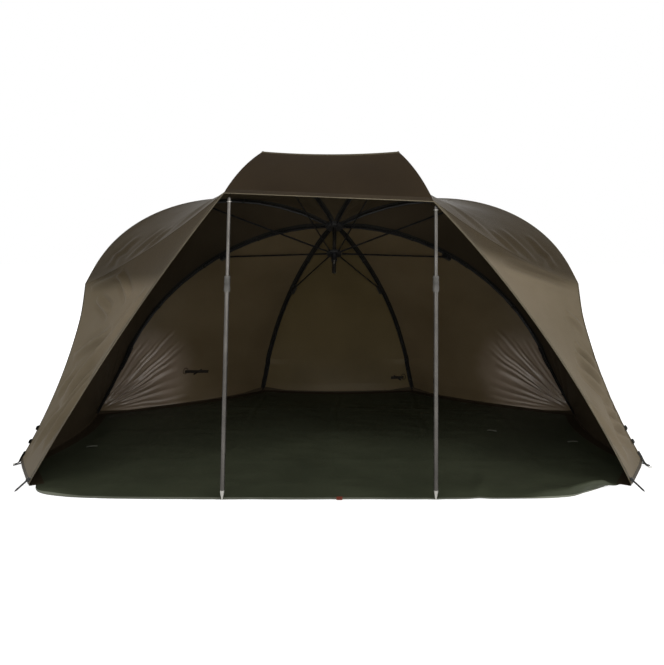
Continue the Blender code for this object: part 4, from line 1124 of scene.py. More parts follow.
def sweep_frames(points):
    """Directions along a line, and two turned along with it."""
    points = np.array(points, float)
    along = np.gradient(points, axis=0)
    along /= np.maximum(np.linalg.norm(along, axis=1, keepdims=True), 1e-12)
    start = np.cross(along[0], [0.0, 0.0, 1.0])
    if np.linalg.norm(start) < 0.2:
        start = np.cross(along[0], [1.0, 0.0, 0.0])
    firsts = [start / np.linalg.norm(start)]
    for direction in along[1:]:
        first = firsts[-1] - firsts[-1] @ direction * direction
        firsts.append(first / np.linalg.norm(first))
    firsts = np.array(firsts)
    return points, along, firsts, np.cross(along, firsts)


def ring_faces(count, sides, closed):
    """Quads between rings of points, each with so many sides."""
    faces = []
    for i in range(count if closed else count - 1):
        j = (i + 1) % count
        for k in range(sides):
            m = (k + 1) % sides
            faces.append((i * sides + k, i * sides + m, j * sides + m, j * sides + k))
    return faces


# How far a tube's domed end stands out and how wide it stays, as shares of the radius
DOME_REACH = 0.6
DOME_WIDTH = 0.55


def tube(name, points, radius, look, sides=10):
    """A round bar along points, with domed ends."""
    points, along, first, second = sweep_frames(points)
    ends = [0, *range(len(points)), -1]
    places, first, second = points[ends], first[ends], second[ends]
    places[0] = places[0] - DOME_REACH * radius * along[0]
    places[-1] = places[-1] + DOME_REACH * radius * along[-1]
    sizes = [DOME_WIDTH * radius, *[radius] * len(points), DOME_WIDTH * radius]
    rings, uv, down = [], [], 0.0
    for i, (place, size) in enumerate(zip(places, sizes)):
        if i:
            down += float(np.linalg.norm(place - places[i - 1]))
        for k in range(sides):
            turn = k * math.tau / sides
            rings.append(place + size * (math.cos(turn) * first[i] + math.sin(turn) * second[i]))
            uv.append((radius * turn, down))
    faces = ring_faces(len(places), sides, False)
    faces.append(tuple(reversed(range(sides))))
    faces.append(tuple((len(places) - 1) * sides + k for k in range(sides)))
    return fix_facing(add_object(name, rings, faces, [look], uv=uv))


def fix_facing(obj):
    """Turns a closed mesh's faces outwards."""
    bm = bmesh.new()
    bm.from_mesh(obj.data)
    bm.normal_update()
    bmesh.ops.recalc_face_normals(bm, faces=bm.faces)
    if bm.calc_volume(signed=True) < 0:
        bmesh.ops.reverse_faces(bm, faces=bm.faces)
    bm.to_mesh(obj.data)
    bm.free()
    return obj


# The canopy's pieces: for each rib, the cloth on both sides of it


SLEEVE_THICKNESS = 0.0008


def sleeve_under(name, grid, normals, seam, body, half_width, lift):
    """The dark tape sewn inside along a rib, which the rib runs against."""
    across = tuple(share * half_width for share in (-1.0, -0.5, 0.0, 0.5, 1.0))
    points, facing = strip_between(grid, normals, across, seam)
    sleeve = cloth_piece(name, points, facing, [LOOKS["webbing"]] * 2, 2, SLEEVE_THICKNESS, lift)
    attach(sleeve, body)
    return sleeve


PANELS = {**GORES, **WINGS}
# The column at which each panel is parted between the ribs at its sides
CUT = {name: data[0].shape[1] // 2 for name, data in GORES.items()}
CUT["right_roof"] = VISOR_STEPS
CUT["left_roof"] = GORES["left_roof"][0].shape[1] - 1 - VISOR_STEPS
CUT["right_wing"] = 0
CUT["left_wing"] = WINGS["left_wing"][0].shape[1] - 1
BETWEEN = {
    ("right", "front_centre"): ("front_roof", "right_roof"),
    ("right", "front_side"): ("right_roof", "right_side"),
    ("right", "back_side"): ("right_side", "right_back_side"),
    ("right", "back"): ("right_back_side", "back"),
    ("left", "back"): ("back", "left_back_side"),
    ("left", "back_side"): ("left_back_side", "left_side"),
    ("left", "front_side"): ("left_side", "left_roof"),
    ("left", "front_centre"): ("left_roof", "front_roof"),
}
# The first rows without a crown patch and with a sleeve, and the rows under the back side ribs' pockets
CROWN_ROWS = 14
SLEEVE_ROWS = 8
POCKET_ROWS = slice(2, 30)
POCKET_HALF_WIDTH = 0.023
SLEEVE_LIFT = -0.0010
POCKET_LIFT = -0.0019
HALVES = {}


def lining_of(name, word):
    """The look inside a panel, on the left or the right half of the canopy."""
    # Roofs, side walls and wings take linings darkened as painted shade
    if name.endswith("_roof"):
        return "shaded_ceiling"
    if name.endswith("back_side"):
        return f"inner_{word}"
    return "inner_side" if name.endswith(("_side", "_wing")) else "inner_matt"


def looks_by_column(names, word, seam, grid):
    """The piece's looks, and for each column the numbers of its outer and its inner look."""
    looks, numbers = [], []
    for name in names:
        # Roofs and wings take the wing look, with its painted shade
        outer = f"wing_{word}" if name in (f"{word}_roof", f"{word}_wing") else "outer"
        pair = (LOOKS[outer], LOOKS[lining_of(name, word)])
        looks += [look for look in pair if look not in looks]
        numbers.append(tuple(looks.index(look) for look in pair))
    return looks, [numbers[0] if j < seam else numbers[1] for j in range(grid.shape[1] - 1)]


def rows_of(name, part):
    """A panel's rows above or below the knees. The wings are all below."""
    grid, normals = PANELS[name]
    if name.endswith("_wing"):
        return grid, normals
    rows = slice(0, UPPER_ROWS) if part == "upper" else slice(UPPER_ROWS - 1, None)
    return grid[rows], normals[rows]


def canopy_piece(word, kind, part, before, after):
    """The cloth at both sides of a rib, with its seam tape, its hem and the tape inside."""
    side, label = SIDES[word], f"{word}_{kind}_{part}"
    body = f"{word}_{kind}_rib" if part == "upper" else f"{word}_{kind}_lower_rib"
    blocks = [(*rows_of(before, part), CUT[before], None), (*rows_of(after, part), 1, CUT[after] + 1)]
    grid, normals = joined(*blocks)
    seam = PANELS[before][0].shape[1] - 1 - CUT[before]
    looks, numbers = looks_by_column((before, after), word, seam, grid)
    piece = cloth_piece(f"cloth_{label}", grid, normals, looks, seam, numbers=numbers)
    first = CROWN_ROWS if part == "upper" else 0
    tape = tape_over(f"seam_{label}", grid[first:], normals[first:], seam, LOOKS["tape"])
    hems = []
    if part == "lower":
        hems.append(edge_tape(f"hem_{word}_{kind}", grid, normals, LOOKS["binding"]))
    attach(tape, body)
    first = SLEEVE_ROWS if part == "upper" else 0
    sleeve = sleeve_under(f"sleeve_{label}", grid[first:], normals[first:], seam, body, SLEEVE_HALF_WIDTH,
                          SLEEVE_LIFT)
    if (kind, part) == ("back_side", "lower"):
        sleeve_under(f"pocket_{word}", grid[POCKET_ROWS], normals[POCKET_ROWS], seam, body,
                     POCKET_HALF_WIDTH, POCKET_LIFT)
    for cloth in (piece, *hems):
        folds_to(cloth, body)
    declare("stretched", grid)
    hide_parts(*sorted({f"{name}_panel" for name in (before, after)}))
    HALVES[word, kind, part] = (grid, normals, seam)


for (word, kind), names in BETWEEN.items():
    canopy_piece(word, kind, "upper", *names)
for (word, kind), names in BETWEEN.items():
    if kind in FEET:
        canopy_piece(word, kind, "lower", *(name.replace("roof", "wing") for name in names))


SKIRT_THICKNESS = 0.0007


def make_skirt(word, kind):
    """The flap that closes the wall to the ground and lies inwards on the groundsheet."""
    grid, _, seam = HALVES[word, kind, "lower"]
    hem = grid[-1]
    inwards = np.array([INSIDE.x, INSIDE.y, 0]) - hem * [1, 1, 0]
    inwards /= np.linalg.norm(inwards, axis=1, keepdims=True)
    level = SKIRT_HEIGHT + 0.0008 * noise_at(hem[None], 0.12, 3)[0]
    top, low = hem + [0, 0, SKIRT_LAP], hem.copy()
    low[:, 2] = np.minimum(hem[:, 2], level)
    rows = [top, 0.5 * (top + low) + 0.001 * inwards, low + 0.002 * inwards]
    for share in (0.12, 0.5, 1.0):
        row = low + share * SKIRT_INWARDS * inwards
        row[:, 2] = level - 0.0012 * share
        rows.append(row)
    skirt = np.array(rows)
    facing = normals_of(skirt)
    facing[:3] = -np.broadcast_to(inwards, facing[:3].shape)
    facing[3:] = [0, 0, -1.0]
    # The lining darkened as painted shade
    looks = [LOOKS["inner_side"]] * 2
    piece = cloth_piece(f"skirt_{word}_{kind}", skirt, facing, looks, seam, SKIRT_THICKNESS, 0.0)
    folds_to(piece, f"{word}_{kind}_lower_rib")


for word, kind, part in HALVES:
    if part == "lower":
        make_skirt(word, kind)


# The visor, in two halves that go with the two short ribs over the entrance


VISOR_SLACK = ((0.30, 0.0045), (0.16, 0.0016))
VISOR_TAPE_WIDTH = 0.020
RIDGE_TAPE_WIDTH = 0.014


def make_visor():
    ridge = [Vector(p) for p in GORES["front_roof"][0][-1]]
    lip = [post_top(-1).lerp(post_top(1), j / GORE_COLUMNS) for j in range(GORE_COLUMNS + 1)]
    grid = grid_of(coons(ridge, lip, visor_side(-1), visor_side(1)))
    normals = normals_of(grid)
    u, v = shares(grid)
    held = np.clip(4 * u * (1 - u), 0, 1) ** 0.6 * np.clip(4 * v * (1 - v) * 1.4, 0, 1)
    (size, depth), (small, shallow) = VISOR_SLACK
    rise = held * (depth * noise_at(grid, size, 7) + shallow * noise_at(grid * [3, 1, 1], small, 2))
    grid = grid + held_edges(rise)[:, :, None] * normals
    normals = normals_of(grid)
    middle = GORE_COLUMNS // 2
    for word, side in SIDES.items():
        half = slice(middle, None) if side > 0 else slice(None, middle + 1)
        part, facing = grid[:, half], normals[:, half]
        body = f"{word}_front_centre_rib"
        # Outside the darker visor colour, inside the darker lining, both painted shade
        piece = cloth_piece(f"visor_{word}", part, facing, [LOOKS["visor"], LOOKS["shaded_ceiling"]], 0)
        lip_tape = edge_tape(f"visor_tape_{word}", part, facing, LOOKS["visor_tape"], VISOR_TAPE_WIDTH)
        edge = part[-1] + (CLOTH / 2) * facing[-1] + np.array([0, 0, -0.0012])
        piping = tube(f"visor_piping_{word}", edge, PIPING_RADIUS, LOOKS["piping"])
        ridge_tape = edge_tape(f"ridge_tape_{word}", part[::-1], facing[::-1], LOOKS["tape"],
                               RIDGE_TAPE_WIDTH)
        for obj in (piece, lip_tape, piping, ridge_tape):
            folds_to(obj, body)
        declare("stretched", part)
        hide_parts("visor")


make_visor()


# Bindings of the entrance

BINDING_WIDTH = 0.024
WELT_RADIUS = 0.0013
WING_SEAM_RADIUS = 0.0010

for word, side in SIDES.items():
    grid, normals = WINGS[f"{word}_wing"]
    column = 0 if side > 0 else grid.shape[1] - 1
    anchor, body = knuckle("front_side", side), f"{word}_front_side_lower_rib"
    sideways, facing = (data[:, ::-side].transpose(1, 0, 2) for data in (grid, normals))
    binding = edge_tape(f"opening_tape_{word}", sideways, facing, LOOKS["binding"], BINDING_WIDTH)
    edge = grid[:, column] + (CLOTH / 2) * normals[:, column]
    piping = tube(f"opening_piping_{word}", edge, PIPING_RADIUS, LOOKS["piping"])
    inner_line, inner_facing = strip_between(grid, normals, (side * BINDING_WIDTH,), column)
    welt = inner_line[:, 0] + (CLOTH + 0.0014) * inner_facing[:, 0]
    cording = tube(f"opening_welt_{word}", welt, WELT_RADIUS, LOOKS["piping"], 8)
    for obj in (binding, piping, cording):
        folds_to(obj, body)
    seam_line = grid[0] + (CLOTH + 0.0006) * normals[0]
    seam = tube(f"wing_seam_{word}", seam_line, WING_SEAM_RADIUS, LOOKS[f"wing_{word}"], 8)
    folds_to(seam, f"{word}_front_side_rib")


# The groundsheet: slack, creased where it was folded, one front corner curled up


def outline(points, steps):
    """A line through the points, with so many even steps along it."""
    fine = rounded([Vector(p) for p in points], 12)
    lengths = [0.0]
    for a, b in zip(fine, fine[1:]):
        lengths.append(lengths[-1] + (b - a).length)
    made, k = [], 0
    for i in range(steps + 1):
        goal = lengths[-1] * i / steps
        while k < len(fine) - 2 and lengths[k + 1] < goal:
            k += 1
        span = lengths[k + 1] - lengths[k]
        made.append(fine[k].lerp(fine[k + 1], (goal - lengths[k]) / span if span else 0))
    return made


# Places along the front edge, as x and the distance back from the storm poles
SHEET_FRONT = (
    (-1.226, 0.118), (-1.200, 0.082), (-1.155, 0.054), (-1.090, 0.034), (-1.000, 0.020), (-0.800, 0.008),
    (-SHEET_FRONT_HALF, SHEET_FRONT_BACK),
    (SHEET_FRONT_HALF, SHEET_FRONT_BACK), (0.900, 0.016), (1.050, 0.078), (1.165, 0.155),
)


def inside_hem(grid, *column_shares):
    """Places on the ground a little inside a wall's hem, at shares of its columns."""
    places = []
    for share in column_shares:
        place = place_on(grid, share, 1.0)
        inwards = np.array([INSIDE.x - place[0], INSIDE.y - place[1]])
        inwards *= SHEET_INSET / np.linalg.norm(inwards)
        places.append((place[0] + inwards[0], place[1] + inwards[1], 0))
    return places


SHEET_THICKNESS = 0.0009
SHEET_TAPE_WIDTH = 0.016
# The sheet's height above the ground, and the heights of its slack and its small ripples
SHEET_LIFT = 0.0012
SLACK_HEIGHT = 0.0100
RIPPLE_HEIGHT = 0.0045
# One long ripple behind the front edge: its place across there, slant, width, height and how far back
# it starts to die out and has died out
LONG_RIPPLE_PLACE = 0.60
LONG_RIPPLE_SLANT = 0.25
LONG_RIPPLE_WIDTH = 0.030
LONG_RIPPLE_HEIGHT = 0.0110
LONG_RIPPLE_ENDS = (0.14, 0.34)
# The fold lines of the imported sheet, in metres across and back, and how high, wide and wavy they are
FOLD_LINES = ((-0.94, -0.47, 0.0, 0.47, 0.94), (0.44, 0.88, 1.32))
FOLD_LINE_HEIGHT = 0.0028
FOLD_LINE_WIDTH = 0.011
FOLD_LINE_WAVER = 0.01
# How near the storm poles the sheet lies flat, and the width beside the skirts where it grows slack
POLE_CLEAR = 0.03
SKIRT_CLEAR = 0.08
# The crests behind the front edge, where the right corner curls up and the left one is tucked: how high
# they are, where they start across, the length and the power of their rise, and where they end
CURL_HEIGHT = 0.040
CURL = (0.74, 0.26, 1.5, 1.200)
TUCK_HEIGHT = 0.010
TUCK = (1.00, 0.12, 1.0, 1.215)
CREST_FALL = 0.06
# How far behind the edge a crest is at its full height, from where to where, and how fast it dies out
CREST_TOP = (0.030, 0.034)
CREST_SLOPE = 0.050


def sheet_outline():
    """The groundsheet as a flat grid, from the front edge back, a little inside the walls' hems."""
    sides = {}
    for word, side in SIDES.items():
        x, depth = SHEET_FRONT[0 if side < 0 else -1]
        walls = [GORES[f"{word}_{kind}"][0][:, ::side] for kind in ("side", "back_side")]
        points = [(x, POST_Y + depth, 0), *inside_hem(WINGS[f"{word}_wing"][0][:, ::side], 0.12, 0.5)]
        points += inside_hem(walls[0], 0.0, 0.25, 0.5, 0.75)
        points += inside_hem(walls[1], 0.0, 0.25, 0.5, 0.75, 1.0)
        sides[side] = outline(points, 90)
    front = outline([(x, POST_Y + depth, 0) for x, depth in SHEET_FRONT], 140)
    behind = [Vector(p) for p in inside_hem(GORES["back"][0], 0.75, 0.5, 0.25)]
    back = outline([sides[-1][-1], *behind, sides[1][-1]], 140)
    return grid_of(coons(front, back, sides[-1], sides[1]))


def ripples(grid, x, depth):
    """The height of the sheet's slack, with small ripples and the long one."""
    swell = SLACK_HEIGHT * np.clip(noise_at(grid, 0.34, 4) + 0.25, 0, 1)
    small = RIPPLE_HEIGHT * np.clip(noise_at(grid * [1, 2.2, 1], 0.12, 9), 0, 1)
    off = (x - LONG_RIPPLE_PLACE - LONG_RIPPLE_SLANT * depth) / LONG_RIPPLE_WIDTH
    start, end = LONG_RIPPLE_ENDS
    long = LONG_RIPPLE_HEIGHT * np.exp(-off ** 2) * np.clip((end - depth) / (end - start), 0, 1)
    return swell + small + long


def fold_lines(x, depth):
    """The height of the lines along which the sheet was folded."""
    height = np.zeros_like(x)
    for lines, here, other, turns in zip(FOLD_LINES, (x, depth), (depth, x), (9, 7)):
        for at in lines:
            off = here - at - FOLD_LINE_WAVER * np.sin(turns * other)
            height += FOLD_LINE_HEIGHT * np.exp(-(off / FOLD_LINE_WIDTH) ** 2)
    return height


def free_share(grid, x, depth):
    """1 where the sheet is slack, and 0 at its edges, under the skirts and round the poles."""
    u, v = shares(grid)
    free = np.clip(16 * u * (1 - u), 0, 1) * np.clip(v * 14, 0.25, 1) * np.clip((1 - v) * 10, 0, 1)
    for side in (-1, 1):
        free *= 1 - np.exp(-((x - side * POST_X) ** 2 + depth ** 2) / POLE_CLEAR ** 2)
    width = np.linalg.norm(grid[:, -1] - grid[:, 0], axis=1)[:, None]
    from_wall = np.minimum(np.minimum(u, 1 - u) * width, (1 - v) * FLOOR_DEPTH)
    return free * np.clip((from_wall - SKIRT_INWARDS) / SKIRT_CLEAR, 0, 1)


def crest_share(across, start, rise, power, end):
    """A crest's height across: it grows from start on, over the length rise, and falls to 0 at end."""
    return np.clip((across - start) / rise, 0, 1) ** power * np.clip((end - across) / CREST_FALL, 0, 1)


def curled_corners(x, depth):
    """The height of the crests behind the front edge, near both corners."""
    behind = depth - depth[:1]
    first, last = CREST_TOP
    beyond = np.maximum(behind - last, 0) / CREST_SLOPE
    crest = np.clip(behind / first, 0, 1) ** 0.8 * np.exp(-beyond * beyond)
    curl = CURL_HEIGHT * crest_share(x, *CURL) * (1 + 0.15 * np.sin(31 * x))
    return crest * (curl + TUCK_HEIGHT * crest_share(-x, *TUCK))


def make_groundsheet():
    grid = sheet_outline()
    x, depth = grid[:, :, 0], grid[:, :, 1] - POST_Y
    height = (ripples(grid, x, depth) + fold_lines(x, depth)) * free_share(grid, x, depth)
    grid[:, :, 2] = SHEET_LIFT + height + curled_corners(x, depth)
    rows, columns = grid.shape[:2]
    normals = normals_of(grid)
    if normals[rows // 2, columns // 2, 2] < 0:
        normals = -normals
    looks = [LOOKS["ground"]] * 2
    piece = cloth_piece("groundsheet_cloth", grid, normals, looks, columns // 2, SHEET_THICKNESS, 0.0)
    hem = edge_tape("groundsheet_front_edge", grid[::-1], normals[::-1], LOOKS["ground_edge"],
                    SHEET_TAPE_WIDTH)
    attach(piece, "ground_pieces")
    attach(hem, "ground_pieces")
    declare("laid", grid)
    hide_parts("groundsheet")
    return grid


GROUND = make_groundsheet()


# Webbing, keepers, loops, ties and eyelets

STRAP_THICKNESS = 0.0014
RING_STEPS = 28
RING_SIDES = 10


def strap(name, points, across, width, look, thickness=STRAP_THICKNESS):
    """A flat strap that follows points, as wide as width along across."""
    points = np.array([tuple(p) for p in points], float)
    along = np.gradient(points, axis=0)
    sideways = np.broadcast_to(np.array(across, float), points.shape)
    slant = np.sum(sideways * along, axis=1, keepdims=True) * along
    sideways = sideways - slant / np.sum(along * along, axis=1, keepdims=True)
    sideways = sideways / np.linalg.norm(sideways, axis=1, keepdims=True)
    offsets = np.array([-0.5, -0.42, 0.0, 0.42, 0.5]) * width
    grid = points[:, None, :] + offsets[None, :, None] * sideways[:, None, :]
    facing = np.cross(along, sideways)
    facing /= np.linalg.norm(facing, axis=1, keepdims=True)
    facing = np.repeat(facing[:, None, :], len(offsets), axis=1)
    return cloth_piece(name, grid, facing, [look, look], 2, thickness, -thickness / 2)


def turned_ring(name, centre, axis, towards, radius, bar, look, stretch=0.0, flat=1.0):
    """A ring about an axis, drawn out to one side by stretch; flat widens its bar along the axis."""
    axis, towards = Vector(axis).normalized(), Vector(towards)
    first = (towards - towards.dot(axis) * axis).normalized()
    second = axis.cross(first)
    rings, uv = [], []
    for i in range(RING_STEPS):
        turn = math.tau * i / RING_STEPS
        away = math.cos(turn) * first + math.sin(turn) * second
        middle = Vector(centre) + (radius + stretch * max(0.0, math.cos(turn)) ** 2) * away
        for k in range(RING_SIDES):
            around = math.tau * k / RING_SIDES
            rings.append(middle + bar * (math.cos(around) * away + flat * math.sin(around) * axis))
            uv.append((bar * around, radius * turn))
    faces = ring_faces(RING_STEPS, RING_SIDES, True)
    return fix_facing(add_object(name, rings, faces, [look], uv=uv))


# The crown patch: its first row, its thickness and its lift above the cloth
CROWN_FIRST_ROW = 3
CROWN_THICKNESS = 0.0010
CROWN_LIFT = 0.0007


def crown_patch(word, kind):
    """One eighth of the patch that stiffens the cloth round the hub."""
    grid, normals, seam = HALVES[word, kind, "upper"]
    grid, normals = grid[CROWN_FIRST_ROW:CROWN_ROWS], normals[CROWN_FIRST_ROW:CROWN_ROWS]
    piece = cloth_piece(f"crown_patch_{word}_{kind}", grid, normals, [LOOKS["binding"]] * 2, seam,
                        CROWN_THICKNESS, CLOTH + CROWN_LIFT)
    folds_to(piece, f"{word}_{kind}_rib")


# Where the keepers sit along each rib, and their webbing's half thickness, slack and width to thickness
KEEPER_SHARES = {"upper": (0.30, 0.55, 0.80), "lower": (0.30, 0.70)}
KEEPER_BAR = 0.0010
KEEPER_ROOM = 0.0014
KEEPER_FLAT = 8.0


def keepers(word, kind):
    """Webbing loops that tie the cloth's sleeve down to the rib."""
    side = SIDES[word]
    runs = {"upper": (upper_path(kind, side, 60), RIB_RADIUS, f"{word}_{kind}_rib")}
    if kind in FEET:
        runs["lower"] = (lower_path(kind, side, 60), LOWER_RIB_RADIUS, f"{word}_{kind}_lower_rib")
    for part, (path, radius, body) in runs.items():
        for n, share in enumerate(KEEPER_SHARES[part]):
            i = round(share * (len(path) - 1))
            ring = turned_ring(f"keeper_{word}_{kind}_{part}_{n + 1}", path[i], tangent_at(path, i),
                               outward_at(path, i), radius + KEEPER_ROOM, KEEPER_BAR, LOOKS["webbing"],
                               RIB_TO_CLOTH - 0.0022, KEEPER_FLAT)
            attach(ring, body)


# Heights of the small loops on the seams and of the peg loops' upper ends, the peg loops' course beyond
# the hem, outwards and down, and how far out their rings lie
SEAM_LOOP_HEIGHTS = (0.105, 0.165)
PEG_LOOP_HEIGHT = 0.060
PEG_LOOP_BEND = ((0.008, -0.006), (0.020, -0.0155), (0.030, -0.0175))
PEG_RING_PLACE = 0.036
# How long, high, wide and thick the seams' loops are, the peg loops' width, and their rings' size
SEAM_LOOP_HALF_LENGTH = 0.010
SEAM_LOOP_RISE = 0.0055
SEAM_LOOP_WIDTH = 0.014
SEAM_LOOP_THICKNESS = 0.0026
PEG_LOOP_WIDTH = 0.018
PEG_RING_RADIUS = 0.0085
PEG_RING_BAR = 0.0013


def outer_loops(word, kind):
    """Small webbing loops on the outer seam near the foot, and the peg loop at the hem."""
    grid, normals, seam = HALVES[word, kind, "lower"]
    body = f"{word}_{kind}_lower_rib"
    line, facing = grid[:, seam], normals[:, seam]
    heights = line[:, 2]
    for n, height in enumerate(SEAM_LOOP_HEIGHTS):
        i = int(np.argmin(np.abs(heights - height)))
        along = line[i - 1] - line[i + 1]
        along /= np.linalg.norm(along)
        sewn = line[i] + (CLOTH + SEAM_LOOP_THICKNESS) * facing[i]
        long, high = SEAM_LOOP_HALF_LENGTH * along, SEAM_LOOP_RISE * facing[i]
        turns = [math.pi * k / 12 for k in range(13)]
        points = [sewn + math.cos(turn) * long + math.sin(turn) * high for turn in turns]
        loop = strap(f"seam_loop_{word}_{kind}_{n + 1}", points, np.cross(along, facing[i]),
                     SEAM_LOOP_WIDTH, LOOKS["webbing"], SEAM_LOOP_THICKNESS)
        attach(loop, body)
    hem, out = line[-1], facing[-1] * [1, 1, 0]
    out /= np.linalg.norm(out)
    i = int(np.argmin(np.abs(heights - PEG_LOOP_HEIGHT)))
    lower = line[(i + len(line)) // 2]
    points = [line[i] + (CLOTH + 0.0030) * facing[i], lower + (CLOTH + 0.0034) * facing[-1]]
    points += [hem + reach * out + [0, 0, drop] for reach, drop in PEG_LOOP_BEND]
    points = rounded([Vector(p) for p in points], 5)
    loop = strap(f"peg_loop_{word}_{kind}", points, np.cross(out, [0, 0, 1.0]), PEG_LOOP_WIDTH,
                 LOOKS["webbing"])
    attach(loop, body)
    centre = hem + PEG_RING_PLACE * out + [0, 0, 0.0030 - hem[2]]
    eye = turned_ring(f"peg_ring_{word}_{kind}", centre, (0, 0, 1), out, PEG_RING_RADIUS, PEG_RING_BAR,
                      LOOKS["steel"])
    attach(eye, body)


TIE_WIDTH = 0.018
TOGGLE_HALF_LENGTH = 0.024
TOGGLE_RADIUS = 0.0050
TOGGLE_PLACE = 0.0075
# The elastic loop: its distance from the wall, radius, half thickness and how far it is drawn out
TIE_LOOP_PLACE = 0.0055
TIE_LOOP_RADIUS = 0.0120
TIE_LOOP_BAR = 0.0016
TIE_LOOP_STRETCH = 0.012


def wall_tie(name, gore_name, ends, row, word, kind):
    """A rolled-door tie on an inside wall: a short strap, a toggle and its elastic loop."""
    grid, normals = GORES[gore_name]
    side, columns = SIDES[word], grid.shape[1]
    i = round(row * (len(grid) - 1))
    first, last = (round(share * (columns - 1)) for share in ends)
    step = 1 if last > first else -1
    points = [grid[i, j] - 0.0016 * normals[i, j] for j in range(first, last + step, step)]
    up = grid[i - 3, first] - grid[i + 3, first]
    inward = -normals[i, (first + last) // 2]
    band = strap(name, points, up, TIE_WIDTH, LOOKS["tie"])
    centre = points[len(points) // 2] + TOGGLE_PLACE * inward
    toward = points[-1] - points[0]
    toward /= np.linalg.norm(toward)
    up = up / np.linalg.norm(up)
    slant = 0.8 * toward + 0.6 * up
    bar = [centre + s * TOGGLE_HALF_LENGTH * slant for s in (-1.0, -0.5, 0.0, 0.5, 1.0)]
    toggle = tube(f"{name}_toggle", bar, TOGGLE_RADIUS, LOOKS["tie"], 12)
    ring = turned_ring(f"{name}_loop", points[0] + TIE_LOOP_PLACE * inward, inward, up, TIE_LOOP_RADIUS,
                       TIE_LOOP_BAR, LOOKS["tie"], TIE_LOOP_STRETCH)
    for obj in (band, toggle, ring):
        folds_to(obj, f"{word}_{kind}_lower_rib")


# The storm poles' tips: how far across and how high
POLE_TOPS = {"left": (-0.398, 1.2035), "right": (0.4270, 1.1700)}
EYELET_DROP = 0.012
EYELET_RADIUS = 0.0098
EYELET_BAR = 0.0014
POLE_STRAP_WIDTH = 0.016


def pole_fitting(word):
    """The strap and eyelet at the corner of the visor that take the storm pole's tip."""
    side, (x, z) = SIDES[word], POLE_TOPS[word]
    tip = np.array([x, POST_Y, z])
    corner = np.array(post_top(side))
    ring = turned_ring(f"pole_eyelet_{word}", tip - [0, 0, EYELET_DROP], (0, 0, 1), (side, 0, 0),
                       EYELET_RADIUS, EYELET_BAR, LOOKS["steel"])
    places = (corner + [-side * 0.045, 0.020, 0.0], corner + [-side * 0.018, 0.022, -0.006],
              tip + [side * 0.004, 0.0125, -0.008], tip + [side * 0.004, 0.0125, -0.030])
    points = rounded([Vector(p) for p in places], 5)
    band = strap(f"pole_strap_{word}", points, (0, 1, 0.2), POLE_STRAP_WIDTH, LOOKS["webbing"])
    for obj in (ring, band):
        folds_to(obj, f"{word}_front_centre_rib")


TAB_LIFT = 0.0052
TAB_THICKNESS = 0.0016
TAB_BULGE = 0.0016


def flat_tab(name, place, along, across, size, look):
    """A small folded tab that lies on the groundsheet."""
    length, width = size
    along, across = Vector(along).normalized(), Vector(across).normalized()
    points = []
    for k in range(9):
        s = k / 8 - 0.5
        lift = TAB_LIFT + TAB_BULGE * math.sin(math.pi * (s + 0.5))
        points.append(Vector(place) + s * length * along + Vector((0, 0, lift)))
    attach(strap(name, points, across, width, look, TAB_THICKNESS), "ground_pieces")


def ground_at(x, depth):
    """The height of the groundsheet at a place."""
    off = (GROUND[:, :, 0] - x) ** 2 + (GROUND[:, :, 1] - POST_Y - depth) ** 2
    return float(GROUND[np.unravel_index(np.argmin(off), off.shape)][2])


for word, kind in BETWEEN:
    crown_patch(word, kind)
    keepers(word, kind)
    if kind in FEET:
        outer_loops(word, kind)
for word in SIDES:
    pole_fitting(word)
wall_tie("wall_tie_left", "left_back_side", (0.600, 0.435), 0.705, "left", "back_side")
wall_tie("wall_tie_back", "back", (0.050, 0.130), 0.810, "right", "back")
flat_tab("front_tab", (0.042, POST_Y + 0.004, ground_at(0.042, 0.01) - 0.002), (0, 1, 0.1), (1, 0, 0),
         (0.026, 0.024), LOOKS["tab"])
# Tabs on the groundsheet: how far across and back, and their turn
GROUND_TABS = ((0.830, 0.868, -0.5), (1.200, 0.700, 0.1), (-1.180, 0.620, 0.3))
for n, (x, depth, turn) in enumerate(GROUND_TABS):
    flat_tab(f"ground_tab_{n + 1}", (x, POST_Y + depth, ground_at(x, depth)),
             (math.cos(turn), math.sin(turn), 0), (-math.sin(turn), math.cos(turn), 0), (0.050, 0.014),
             LOOKS["ground_edge"])


# Floor, light and camera

FLOOR_REACH = 14.0
FLOOR_STEPS = 8
FLOOR_COLOUR = (0.86, 0.86, 0.86, 1)
# How brightly the floor shows to the camera near the part and far from it, and where that changes
FLOOR_GLOW = (0.80, 1.1)
FLOOR_NEAR = 1.6
FLOOR_FAR = 4.0
WORLD_LIGHT = 0.12


